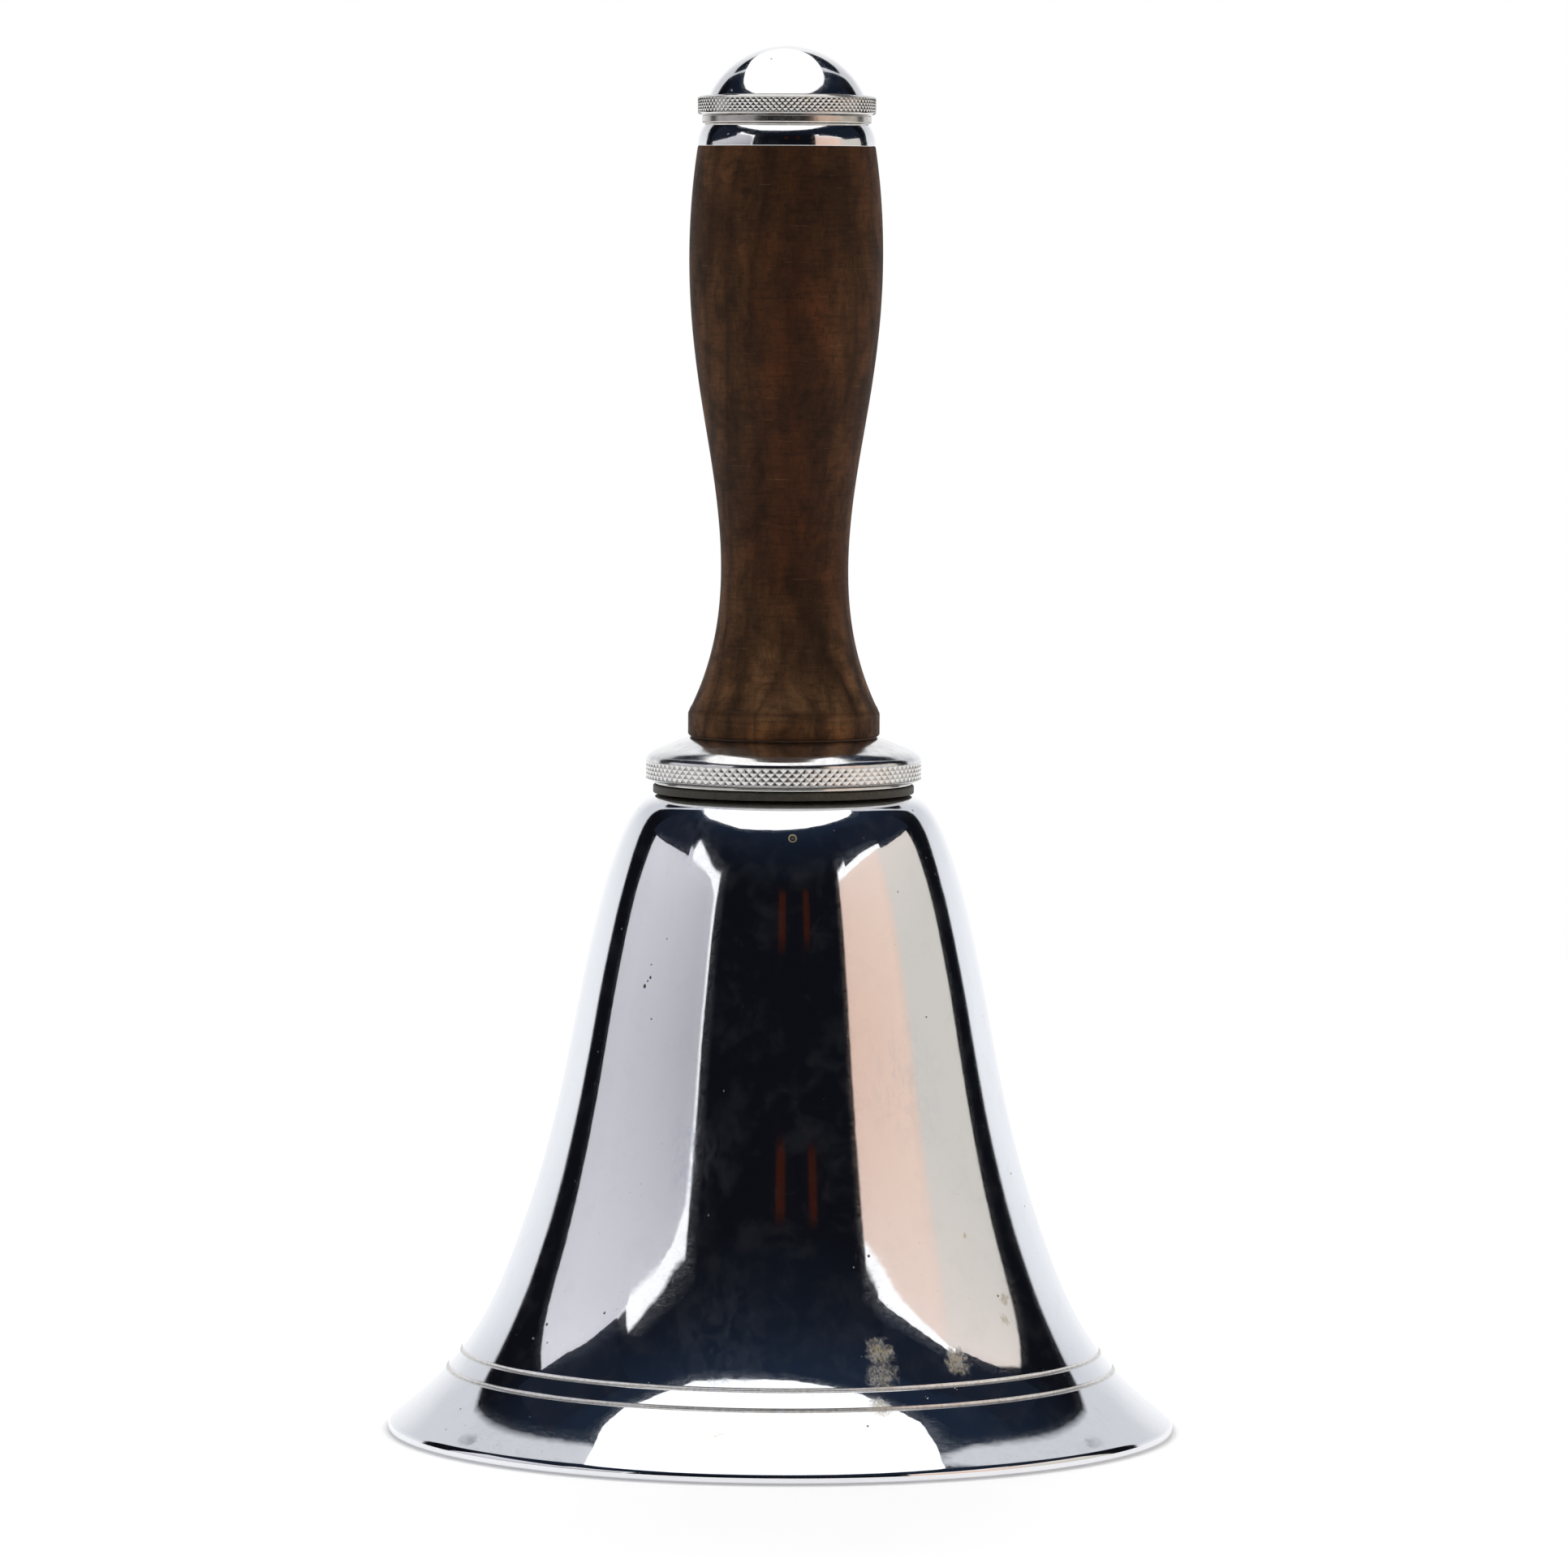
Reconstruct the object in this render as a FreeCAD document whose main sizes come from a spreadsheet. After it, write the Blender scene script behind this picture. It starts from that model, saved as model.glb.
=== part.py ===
"""Hand bell with a screw-on turned handle: a spun metal bell whose upper part
is a closed vessel, a clapper hung under the vessel floor, a strainer cup in
the threaded neck, a knurled screw collar carrying a hollow wooden handle, and
a knurled screw cap over the pouring spout.

Millimetres, +Z up, origin at the centre of the mouth's rim plane.
"""
import FreeCAD, Part
import math
import os
import Sketcher
from FreeCAD import Vector

OUT = "parts"
os.makedirs(OUT, exist_ok=True)

doc = FreeCAD.newDocument("HandBell")
sheet = doc.addObject("Spreadsheet::Sheet", "Dims")

# alias, value in millimetres (or a plain count or angle), what it drives
TABLE = [
    # bell
    ("rim_radius", 81.2, "largest outer radius, at the mouth"),
    ("rim_lip_height", 1.4, "height of the upright outer face of the rim"),
    ("rim_flat_outer", 80.7, "outer radius of the flat the bell stands on"),
    ("rim_flat_inner", 78.7, "inner radius of the flat the bell stands on"),
    ("shell_wall", 1.6, "wall of the spun bell"),
    ("shoulder_z", 131.7, "top of the bell's shoulder"),
    ("shoulder_flat_radius", 24.7, "where the shoulder becomes flat"),
    ("neck_hole_radius", 24.05, "hole in the shoulder for the neck"),
    ("line_upper_z", 16.8, "upper incised line"),
    ("line_lower_z", 13.2, "lower incised line"),
    ("line_width", 1.3, "width of an incised line"),
    ("line_depth", 0.35, "depth of an incised line"),
    # vessel floor
    ("floor_z", 80.0, "underside of the floor's flat centre"),
    ("floor_sheet", 1.2, "floor sheet thickness"),
    ("floor_flat_radius", 18.0, "radius of the floor's flat centre"),
    ("floor_edge_z", 75.6, "underside of the floor at its edge"),
    ("floor_skirt_z", 69.6, "lower edge of the floor's skirt"),
    # neck
    ("neck_bore", 21.5, "inner radius of the neck"),
    ("neck_core", 23.9, "outer radius under the thread"),
    ("neck_crest", 24.45, "outer radius of the thread"),
    ("neck_top_z", 137.5, "top of the neck"),
    ("neck_low_z", 124.5, "bottom of the neck"),
    ("neck_pitch", 3.0, "pitch of the collar thread"),
    # clapper and its hanger
    ("plate_radius", 16.0, "hanger plate"),
    ("plate_thick", 1.6, "hanger plate"),
    ("bracket_base", 2.0, "thickness of the bracket's base"),
    ("bracket_long", 28.0, "length of the bracket's base"),
    ("bracket_wide", 12.0, "width of the bracket over both ears"),
    ("ear_gap", 7.2, "gap between the bracket's ears"),
    ("ear_width", 10.0, "width of an ear"),
    ("pivot_z", 71.0, "axis of the clapper's pin"),
    ("pin_radius", 1.5, "clapper pin"),
    ("eye_bore", 1.56, "bore of the clapper's eye"),
    ("eye_radius", 4.4, "outside of the clapper's eye"),
    ("eye_length", 6.6, "length of the clapper's eye"),
    ("rod_radius", 2.1, "clapper rod"),
    ("ball_radius", 9.5, "clapper ball"),
    ("ball_z", 16.0, "centre of the clapper ball"),
    ("rivet_radius", 1.3, "bracket rivets"),
    ("rivet_spacing", 20.0, "distance between the bracket rivets"),
    # strainer
    ("strainer_outer", 20.7, "outer radius of the strainer cup"),
    ("strainer_inner", 19.8, "inner radius of the strainer cup"),
    ("strainer_low_z", 117.0, "bottom of the strainer cup"),
    ("strainer_rim_radius", 23.3, "rim that rests on the neck"),
    ("strainer_rim_z", 137.55, "underside of the strainer's rim"),
    ("strainer_hole_radius", 1.1, "strainer hole"),
    # gasket
    ("gasket_inner", 24.8, "gasket"),
    ("gasket_outer", 26.9, "gasket"),
    ("gasket_low_z", 131.9, "gasket"),
    ("gasket_top_z", 133.6, "gasket"),
    # screw collar
    ("collar_core", 25.35, "collar bore under the thread"),
    ("collar_crest", 24.8, "collar thread crest"),
    ("collar_ring_radius", 26.5, "outside of the collar's threaded ring"),
    ("collar_low_z", 133.75, "lower edge of the collar"),
    ("band_radius", 28.4, "knurled band"),
    ("band_low_z", 134.4, "knurled band"),
    ("band_top_z", 138.6, "knurled band"),
    ("dome_top_z", 143.4, "seat of the handle on the collar"),
    ("dome_inside_z", 141.2, "underside of the collar's top"),
    # handle
    ("tube_outer", 9.0, "pour tube"),
    ("tube_inner", 8.0, "pour tube"),
    ("tube_low_z", 134.2, "pour tube"),
    ("tube_top_z", 272.9, "pour tube"),
    ("wood_bore", 9.2, "bore of the handle"),
    ("wood_low_z", 143.75, "foot of the handle"),
    ("wood_foot_radius", 19.75, "foot of the handle"),
    ("wood_top_z", 264.8, "top of the handle"),
    ("foot_washer_radius", 19.2, "washer under the handle"),
    ("nut_flats", 25.0, "across the flats of the tube nut"),
    ("nut_low_z", 135.2, "tube nut"),
    ("nut_top_z", 140.2, "tube nut"),
    ("nut_washer_radius", 14.0, "washer over the tube nut"),
    ("ferrule_radius", 18.3, "ferrule"),
    ("ferrule_top_radius", 16.8, "ferrule"),
    ("ferrule_top_z", 269.4, "ferrule"),
    # spout and cap
    ("spout_core", 11.2, "spout under its thread"),
    ("spout_crest", 11.6, "spout thread crest"),
    ("spout_top_z", 276.0, "lip of the spout"),
    ("cap_pitch", 2.0, "pitch of the cap thread"),
    ("base_ring_inner", 12.1, "plain ring under the cap"),
    ("base_ring_outer", 17.4, "plain ring under the cap"),
    ("base_ring_low_z", 269.55, "plain ring under the cap"),
    ("base_ring_top_z", 271.1, "plain ring under the cap"),
    ("cap_thread_core", 12.3, "cap bore under its thread"),
    ("cap_thread_crest", 11.95, "cap thread crest"),
    ("cap_thread_outer", 14.6, "outside of the cap's threaded ring"),
    ("cap_band_radius", 18.35, "knurled cap ring"),
    ("cap_low_z", 271.3, "lower edge of the cap"),
    ("cap_band_top_z", 275.25, "top of the knurled cap ring"),
    ("cap_sphere_radius", 17.6, "outside of the cap's dome"),
    ("cap_sphere_z", 267.8, "centre of the cap's dome"),
    ("cap_wall", 1.4, "wall of the cap's dome"),
    ("seal_radius", 12.0, "cork disc in the cap"),
    ("seal_low_z", 276.1, "cork disc in the cap"),
    ("seal_top_z", 277.5, "cork disc in the cap"),
]
for row, (alias, value, note) in enumerate(TABLE, 1):
    sheet.set("A%d" % row, alias)
    sheet.set("B%d" % row, repr(value))
    sheet.set("C%d" % row, note)
    sheet.setAlias("B%d" % row, alias)
doc.recompute()


class Dim:
    """A length read from the sheet, with the expression that reads it."""

    def __init__(self, value, text):
        self.value, self.text = value, text

    @staticmethod
    def of(other):
        return other if isinstance(other, Dim) else Dim(float(other), repr(float(other)))

    def __add__(self, other):
        o = Dim.of(other)
        return Dim(self.value + o.value, "(%s + %s)" % (self.text, o.text))

    __radd__ = __add__

    def __sub__(self, other):
        o = Dim.of(other)
        return Dim(self.value - o.value, "(%s - %s)" % (self.text, o.text))

    def __rsub__(self, other):
        return Dim.of(other) - self

    def __mul__(self, other):
        o = Dim.of(other)
        return Dim(self.value * o.value, "(%s * %s)" % (self.text, o.text))

    __rmul__ = __mul__

    def __truediv__(self, other):
        o = Dim.of(other)
        return Dim(self.value / o.value, "(%s / %s)" % (self.text, o.text))


class Cells:
    """Reads a named cell of the sheet as a Dim."""

    def __getattr__(self, alias):
        return Dim(float(sheet.get(alias)), "Dims." + alias)


d = Cells()


def num(x):
    return x.value if isinstance(x, Dim) else float(x)


def origin_plane(body, role):
    return [f for f in body.Origin.OriginFeatures if f.Role == role][0]


def new_sketch(body, name, role="XZ_Plane"):
    sk = body.newObject("Sketcher::SketchObject", name)
    sk.AttachmentSupport = [(origin_plane(body, role), "")]
    sk.MapMode = "FlatFace"
    return sk


def spline(points):
    """Clamped cubic through control points with even knots."""
    n = len(points)
    inner = n - 4
    knots = [i / (inner + 1.0) for i in range(inner + 2)]
    mults = [4] + [1] * inner + [4]
    curve = Part.BSplineCurve()
    curve.buildFromPolesMultsKnots([Vector(x, y, 0) for x, y in points], mults, knots, False, 3)
    return curve


def bend(a, b, centre):
    """Inner control points of the circular arc of up to 90 degrees from a to b."""
    ax, ay, bx, by = num(a[0]) - centre[0], num(a[1]) - centre[1], num(b[0]) - centre[0], num(b[1]) - centre[1]
    turn = math.atan2(ax * by - ay * bx, ax * bx + ay * by)
    k = 4.0 / 3.0 * math.tan(turn / 4.0)
    return [
        (centre[0] + ax - k * ay, centre[1] + ay + k * ax),
        (centre[0] + bx + k * by, centre[1] + by - k * bx),
    ]


def hold(sk, geo, pos, x, y):
    """Fix a point of the sketch at x, y, bound to the sheet."""
    for kind, axis, value in (("DistanceX", -2, x), ("DistanceY", -1, y)):
        v = num(value)
        if abs(v) < 1e-9:
            sk.addConstraint(Sketcher.Constraint("PointOnObject", geo, pos, axis))
            continue
        if v > 0:
            c = sk.addConstraint(Sketcher.Constraint(kind, -1, 1, geo, pos, v))
        else:
            c = sk.addConstraint(Sketcher.Constraint(kind, geo, pos, -1, 1, -v))
        if isinstance(value, Dim):
            sk.setExpression("Constraints[%d]" % c, value.text if v > 0 else "-1 * " + value.text)


def draw(sk, loop):
    """Closed loop of corners (x, y) or (x, y, inner control points to the next corner)."""
    n, start = len(loop), sk.GeometryCount
    for i, item in enumerate(loop):
        nxt = loop[(i + 1) % n]
        a, b = (num(item[0]), num(item[1])), (num(nxt[0]), num(nxt[1]))
        if len(item) == 3:
            sk.addGeometry(spline([a] + list(item[2]) + [b]), False)
        else:
            sk.addGeometry(Part.LineSegment(Vector(a[0], a[1], 0), Vector(b[0], b[1], 0)), False)
    for i, item in enumerate(loop):
        sk.addConstraint(Sketcher.Constraint("Coincident", start + (i - 1) % n, 2, start + i, 1))
        hold(sk, start + i, 1, item[0], item[1])


def turned(label, *loops):
    """A piece of revolution about Z from half-sections in the XZ plane."""
    body = doc.addObject("PartDesign::Body", label)
    sk = new_sketch(body, label + "_section")
    for loop in loops:
        draw(sk, loop)
    rev = body.newObject("PartDesign::Revolution", label + "_turning")
    rev.Profile = sk
    rev.ReferenceAxis = (sk, ["V_Axis"])
    rev.Angle = 360
    sk.Visibility = False
    doc.recompute()
    return body


def helix(body, loop, pitch, turns, cut=False):
    """A thread ridge swept about Z from a half-section in the XZ plane."""
    sk = new_sketch(body, body.Label + "_thread_section")
    draw(sk, loop)
    doc.recompute()
    feature = body.newObject("PartDesign::AdditiveHelix", body.Label + "_thread")
    feature.Profile = sk
    feature.ReferenceAxis = (sk, ["V_Axis"])
    feature.Mode = "pitch-turns-angle"
    feature.setExpression("Pitch", pitch.text)
    feature.Turns = turns
    feature.Angle = 0
    feature.LeftHanded = False
    feature.Reversed = False
    before = body.Shape.Volume
    doc.recompute()
    assert body.Shape.Volume > before, body.Label + " thread adds nothing"
    return feature


def cylinder(label, radius, height, x=0, y=0, z=0, axis="z"):
    c = doc.addObject("Part::Cylinder", label)
    for prop, value in (("Radius", radius), ("Height", height)):
        if isinstance(value, Dim):
            c.setExpression(prop, value.text)
        else:
            setattr(c, prop, value)
    rot = {"z": FreeCAD.Rotation(), "y": FreeCAD.Rotation(Vector(1, 0, 0), -90)}[axis]
    c.Placement = FreeCAD.Placement(Vector(num(x), num(y), num(z)), rot)
    for key, value in (("x", x), ("y", y), ("z", z)):
        if isinstance(value, Dim):
            c.setExpression("Placement.Base." + key, value.text)
    return c


def block(label, sx, sy, sz, x, y, z):
    b = doc.addObject("Part::Box", label)
    for prop, value in (("Length", sx), ("Width", sy), ("Height", sz)):
        if isinstance(value, Dim):
            b.setExpression(prop, value.text)
        else:
            setattr(b, prop, value)
    b.Placement = FreeCAD.Placement(Vector(num(x), num(y), num(z)), FreeCAD.Rotation())
    for key, value in (("x", x), ("y", y), ("z", z)):
        if isinstance(value, Dim):
            b.setExpression("Placement.Base." + key, value.text)
    return b


def fuse(label, *items):
    f = doc.addObject("Part::MultiFuse", label)
    f.Shapes = list(items)
    f.Refine = True
    return f


def cut(label, base, tool):
    c = doc.addObject("Part::Cut", label)
    c.Base, c.Tool = base, tool
    return c


nodes = []


def node(obj, name):
    obj.Label = name
    nodes.append((name, obj))
    return obj


# ---------------------------------------------------------------- bell shell
OUTER = [
    (77.9, 4.75), (70.35, 10.6), (61.72, 22.56), (56.1, 36.19), (51.16, 50.13),
    (47.28, 64.21), (44.12, 78.77), (41.52, 92.84), (38.12, 108.01), (34.64, 120.57),
    (29.6, 131.8),
]
flare_start = (num(d.rim_radius) - 0.65, num(d.rim_lip_height) + 1.15)
outer_line = [flare_start] + OUTER + [(num(d.shoulder_flat_radius), num(d.shoulder_z))]


def offset_inwards(points, wall):
    """Control points of the wall's inner face: a mitred offset of the outer ones."""
    normals = []
    for (x0, y0), (x1, y1) in zip(points, points[1:]):
        length = math.hypot(x1 - x0, y1 - y0)
        normals.append((-(y1 - y0) / length, (x1 - x0) / length))
    out = []
    for i, (x, y) in enumerate(points):
        n0 = normals[max(i - 1, 0)]
        n1 = normals[min(i, len(normals) - 1)]
        k = wall / (1 + n0[0] * n1[0] + n0[1] * n1[1])
        out.append((x + k * (n0[0] + n1[0]), y + k * (n0[1] + n1[1])))
    return out


inner_line = offset_inwards(outer_line, num(d.shell_wall))
lip_in = (num(d.rim_flat_inner) - 0.5, 1.6)
inner_line[0] = lip_in
inner_curve = spline(inner_line)


def inside_radius(z):
    """Radius of the bell's inner face at height z."""
    lo, hi = 0.0, 1.0
    for _ in range(60):
        mid = (lo + hi) / 2
        if inner_curve.value(mid).y < z:
            lo = mid
        else:
            hi = mid
    return inner_curve.value(lo).x


def outside_point(z):
    curve = spline(outer_line)
    lo, hi = 0.0, 0.9
    for _ in range(60):
        mid = (lo + hi) / 2
        if curve.value(mid).y < z:
            lo = mid
        else:
            hi = mid
    t = curve.tangent(lo)[0]
    return curve.value(lo), t


bell_shell = node(
    turned(
        "bell_shell",
        [
            (d.rim_radius, d.rim_lip_height, [(81.2, 1.85), (80.84, 2.31)]),
            (d.rim_radius - 0.65, d.rim_lip_height + 1.15, OUTER),
            (d.shoulder_flat_radius, d.shoulder_z),
            (d.neck_hole_radius, d.shoulder_z),
            (d.neck_hole_radius, d.shoulder_z - d.shell_wall),
            (d.shoulder_flat_radius, d.shoulder_z - d.shell_wall, inner_line[-2:0:-1]),
            (d.rim_flat_inner - 0.5, 1.6),
            (d.rim_flat_inner - 0.5, 0.5),
            (d.rim_flat_inner, 0.0),
            (d.rim_flat_outer, 0.0),
            (d.rim_radius, 0.5),
        ],
    ),
    "bell_shell",
)

# two incised lines round the flare
lines = new_sketch(bell_shell, "incised_lines")
for level in (d.line_upper_z, d.line_lower_z):
    point, tangent = outside_point(num(level))
    w, depth = num(d.line_width) / 2, num(d.line_depth)
    nx, ny = tangent.y, -tangent.x
    if nx < 0:
        nx, ny = -nx, -ny
    corners = []
    for along, out in ((-w, 0.6), (-w * 0.45, -depth), (w * 0.45, -depth), (w, 0.6)):
        corners.append((point.x + tangent.x * along + nx * out, point.y + tangent.y * along + ny * out))
    first = lines.GeometryCount
    for i in range(4):
        a, b = corners[i], corners[(i + 1) % 4]
        lines.addGeometry(Part.LineSegment(Vector(a[0], a[1], 0), Vector(b[0], b[1], 0)), False)
    for i in range(4):
        lines.addConstraint(Sketcher.Constraint("Coincident", first + i, 2, first + (i + 1) % 4, 1))
        lines.addConstraint(Sketcher.Constraint("DistanceX", -1, 1, first + i, 1, corners[i][0]))
        lines.addConstraint(Sketcher.Constraint("DistanceY", -1, 1, first + i, 1, corners[i][1]))
doc.recompute()
solid_before = bell_shell.Shape.Volume
groove = bell_shell.newObject("PartDesign::Groove", "incised_line_cut")
groove.Profile = lines
groove.ReferenceAxis = (lines, ["V_Axis"])
groove.Angle = 360
doc.recompute()
assert bell_shell.Shape.Volume < solid_before - 50, "the incised lines cut nothing"

# -------------------------------------------------------------- vessel floor
edge_top = num(d.floor_edge_z) + num(d.floor_sheet)
r_high = inside_radius(edge_top) - 0.06
r_low = inside_radius(num(d.floor_skirt_z)) - 0.06
node(
    turned(
        "vessel_floor",
        [
            (0, d.floor_z),
            (d.floor_flat_radius, d.floor_z),
            (r_high - 1.6, d.floor_edge_z),
            (r_low - 1.2, d.floor_skirt_z),
            (r_low, d.floor_skirt_z),
            (r_high, d.floor_edge_z + d.floor_sheet),
            (r_high - 1.2, d.floor_edge_z + d.floor_sheet + 0.2),
            (d.floor_flat_radius, d.floor_z + d.floor_sheet),
            (0, d.floor_z + d.floor_sheet),
        ],
    ),
    "vessel_floor",
)

# ---------------------------------------------------------------------- neck
neck = turned(
    "neck_ring",
    [
        (d.neck_bore, d.neck_low_z),
        (d.neck_hole_radius, d.neck_low_z),
        (d.neck_hole_radius, d.shoulder_z - 3.1),
        (d.neck_hole_radius + 1.1, d.shoulder_z - 3.1),
        (d.neck_hole_radius + 1.1, d.shoulder_z - 1.75),
        (d.neck_hole_radius, d.shoulder_z - 1.75),
        (d.neck_hole_radius, d.shoulder_z),
        (d.neck_core, d.shoulder_z + 0.15),
        (d.neck_core, d.neck_top_z - 0.3),
        (d.neck_core - 0.3, d.neck_top_z),
        (d.neck_bore + 0.2, d.neck_top_z),
        (d.neck_bore, d.neck_top_z - 0.2),
    ],
)
helix(
    neck,
    [
        (d.neck_core - 0.2, d.shoulder_z + 0.75),
        (d.neck_crest, d.shoulder_z + 1.25),
        (d.neck_crest, d.shoulder_z + 1.6),
        (d.neck_core - 0.2, d.shoulder_z + 2.1),
    ],
    d.neck_pitch,
    1.15,
)
node(neck, "neck_ring")

# ------------------------------------------------------------ clapper hanger
plate_z = d.floor_z - d.plate_thick
base_z = plate_z - d.bracket_base
plate_disc = cylinder("plate_disc", d.plate_radius, d.plate_thick, z=plate_z)
plate_holes = fuse(
    "plate_holes",
    cylinder("plate_hole_a", d.rivet_radius, 6, x=d.rivet_spacing / 2, z=plate_z - 2),
    cylinder("plate_hole_b", d.rivet_radius, 6, x=d.rivet_spacing / -2, z=plate_z - 2),
)
node(cut("hanger_plate", plate_disc, plate_holes), "hanger_plate")

bracket_body = fuse(
    "bracket_blank",
    block("bracket_foot", d.bracket_long, d.bracket_wide, d.bracket_base, d.bracket_long / -2, d.bracket_wide / -2, base_z),
    block("bracket_ears", d.ear_width, d.bracket_wide, base_z - d.pivot_z + 0.5, d.ear_width / -2, d.bracket_wide / -2, d.pivot_z),
    cylinder("bracket_round", d.ear_width / 2, d.bracket_wide, y=d.bracket_wide / -2, z=d.pivot_z, axis="y"),
)
bracket_space = fuse(
    "bracket_space",
    block("bracket_slot", 30, d.ear_gap, base_z - d.pivot_z + 20, -15, d.ear_gap / -2, d.pivot_z - 20),
    cylinder("bracket_pin_hole", d.pin_radius, 30, y=-15, z=d.pivot_z, axis="y"),
    cylinder("bracket_rivet_a", d.rivet_radius, 8, x=d.rivet_spacing / 2, z=base_z - 3),
    cylinder("bracket_rivet_b", d.rivet_radius, 8, x=d.rivet_spacing / -2, z=base_z - 3),
)
node(cut("clapper_bracket", bracket_body, bracket_space), "clapper_bracket")

pin_half = d.bracket_wide / 2
node(
    fuse(
        "clapper_pin",
        cylinder("pin_shaft", d.pin_radius, d.bracket_wide + 1.0, y=pin_half * -1 - 0.5, z=d.pivot_z, axis="y"),
        cylinder("pin_head_front", d.pin_radius + 1.1, 1.0, y=pin_half * -1 - 1.0, z=d.pivot_z, axis="y"),
        cylinder("pin_head_back", d.pin_radius + 1.1, 1.0, y=pin_half, z=d.pivot_z, axis="y"),
    ),
    "clapper_pin",
)

rivets = []
for side, sign in (("a", 1), ("b", -1)):
    rivets.append(cylinder("rivet_shank_" + side, d.rivet_radius, d.plate_thick + d.bracket_base, x=d.rivet_spacing * (sign / 2.0), z=base_z))
    rivets.append(cylinder("rivet_head_" + side, d.rivet_radius + 1.1, 0.9, x=d.rivet_spacing * (sign / 2.0), z=base_z - 0.9))
node(fuse("bracket_rivets", *rivets), "bracket_rivets")

# ------------------------------------------------------------------- clapper
rod_low = d.ball_z - 12.2
rod = turned(
    "clapper_rod",
    [
        (0, rod_low),
        (d.rod_radius - 0.4, rod_low),
        (d.rod_radius, rod_low + 0.4),
        (d.rod_radius, d.pivot_z - 10),
        (d.rod_radius + 0.9, d.pivot_z - 3.6),
        (0, d.pivot_z - 3.6),
    ],
)
arm_blank = fuse(
    "arm_blank",
    rod,
    cylinder("arm_eye", d.eye_radius, d.eye_length, y=d.eye_length / -2, z=d.pivot_z, axis="y"),
)
node(cut("clapper_arm", arm_blank, cylinder("arm_eye_bore", d.eye_bore, 30, y=-15, z=d.pivot_z, axis="y")), "clapper_arm")

bz, br = num(d.ball_z), num(d.ball_radius)
low_seat = 8.8
r_seat = math.sqrt(br * br - low_seat * low_seat)
r_up = num(d.rod_radius)
z_up = math.sqrt(br * br - r_up * r_up)
node(
    turned(
        "clapper_ball",
        [
            (d.rod_radius, d.ball_z - low_seat),
            (r_seat, d.ball_z - low_seat, bend((r_seat, bz - low_seat), (br, bz), (0, bz))),
            (d.ball_radius, d.ball_z, bend((br, bz), (r_up, bz + z_up), (0, bz))),
            (d.rod_radius, d.ball_z + z_up),
        ],
    ),
    "clapper_ball",
)
node(
    turned(
        "clapper_nut",
        [
            (d.rod_radius, d.ball_z - 11.6),
            (3.1, d.ball_z - 11.6),
            (3.5, d.ball_z - 11.1),
            (3.5, d.ball_z - low_seat),
            (d.rod_radius, d.ball_z - low_seat),
        ],
    ),
    "clapper_nut",
)

# ------------------------------------------------------------------ strainer
strainer = turned(
    "strainer_cup",
    [
        (0, d.strainer_low_z),
        (d.strainer_outer - 2.0, d.strainer_low_z),
        (d.strainer_outer, d.strainer_low_z + 2.0),
        (d.strainer_outer, d.strainer_rim_z),
        (d.strainer_rim_radius, d.strainer_rim_z),
        (d.strainer_rim_radius, d.strainer_rim_z + 0.8),
        (d.strainer_inner, d.strainer_rim_z + 0.8),
        (d.strainer_inner, d.strainer_low_z + 2.3),
        (d.strainer_outer - 2.3, d.strainer_low_z + 0.9),
        (0, d.strainer_low_z + 0.9),
    ],
)


def perforate(body, name, radius_at, count):
    """A ring of round holes through the cup's floor."""
    sk = new_sketch(body, name + "_sketch", "XY_Plane")
    sk.addGeometry(Part.Circle(Vector(num(radius_at), 0, 0), Vector(0, 0, 1), num(d.strainer_hole_radius)), False)
    hold(sk, 0, 3, radius_at, 0)
    c = sk.addConstraint(Sketcher.Constraint("Radius", 0, num(d.strainer_hole_radius)))
    sk.setExpression("Constraints[%d]" % c, d.strainer_hole_radius.text)
    sk.AttachmentOffset = FreeCAD.Placement(Vector(0, 0, num(d.strainer_low_z) + 3), FreeCAD.Rotation())
    doc.recompute()
    before = body.Shape.Volume
    pocket = body.newObject("PartDesign::Pocket", name)
    pocket.Profile = sk
    pocket.Type = "Length"
    pocket.Length = 5
    pocket.Reversed = False
    doc.recompute()
    assert body.Shape.Volume < before - 1, name + " cuts nothing"
    one = before - body.Shape.Volume
    if count > 1:
        pattern = body.newObject("PartDesign::PolarPattern", name + "_ring")
        pattern.Originals = [pocket]
        pattern.Axis = (sk, ["N_Axis"])
        pattern.Angle = 360
        pattern.Occurrences = count
        body.Tip = pattern
        doc.recompute()
        assert body.Shape.Volume < before - one * (count - 0.5), name + " pattern is short"


perforate(strainer, "strainer_holes_inner", d.strainer_inner * 0.2, 5)
perforate(strainer, "strainer_holes_middle", d.strainer_inner * 0.48, 11)
perforate(strainer, "strainer_holes_outer", d.strainer_inner * 0.76, 17)
node(strainer, "strainer_cup")

# -------------------------------------------------------------------- gasket
node(
    turned(
        "gasket_ring",
        [
            (d.gasket_inner, d.gasket_low_z),
            (d.gasket_outer - 0.25, d.gasket_low_z),
            (d.gasket_outer, d.gasket_low_z + 0.25),
            (d.gasket_outer, d.gasket_top_z - 0.25),
            (d.gasket_outer - 0.25, d.gasket_top_z),
            (d.gasket_inner, d.gasket_top_z),
        ],
    ),
    "gasket_ring",
)

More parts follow.
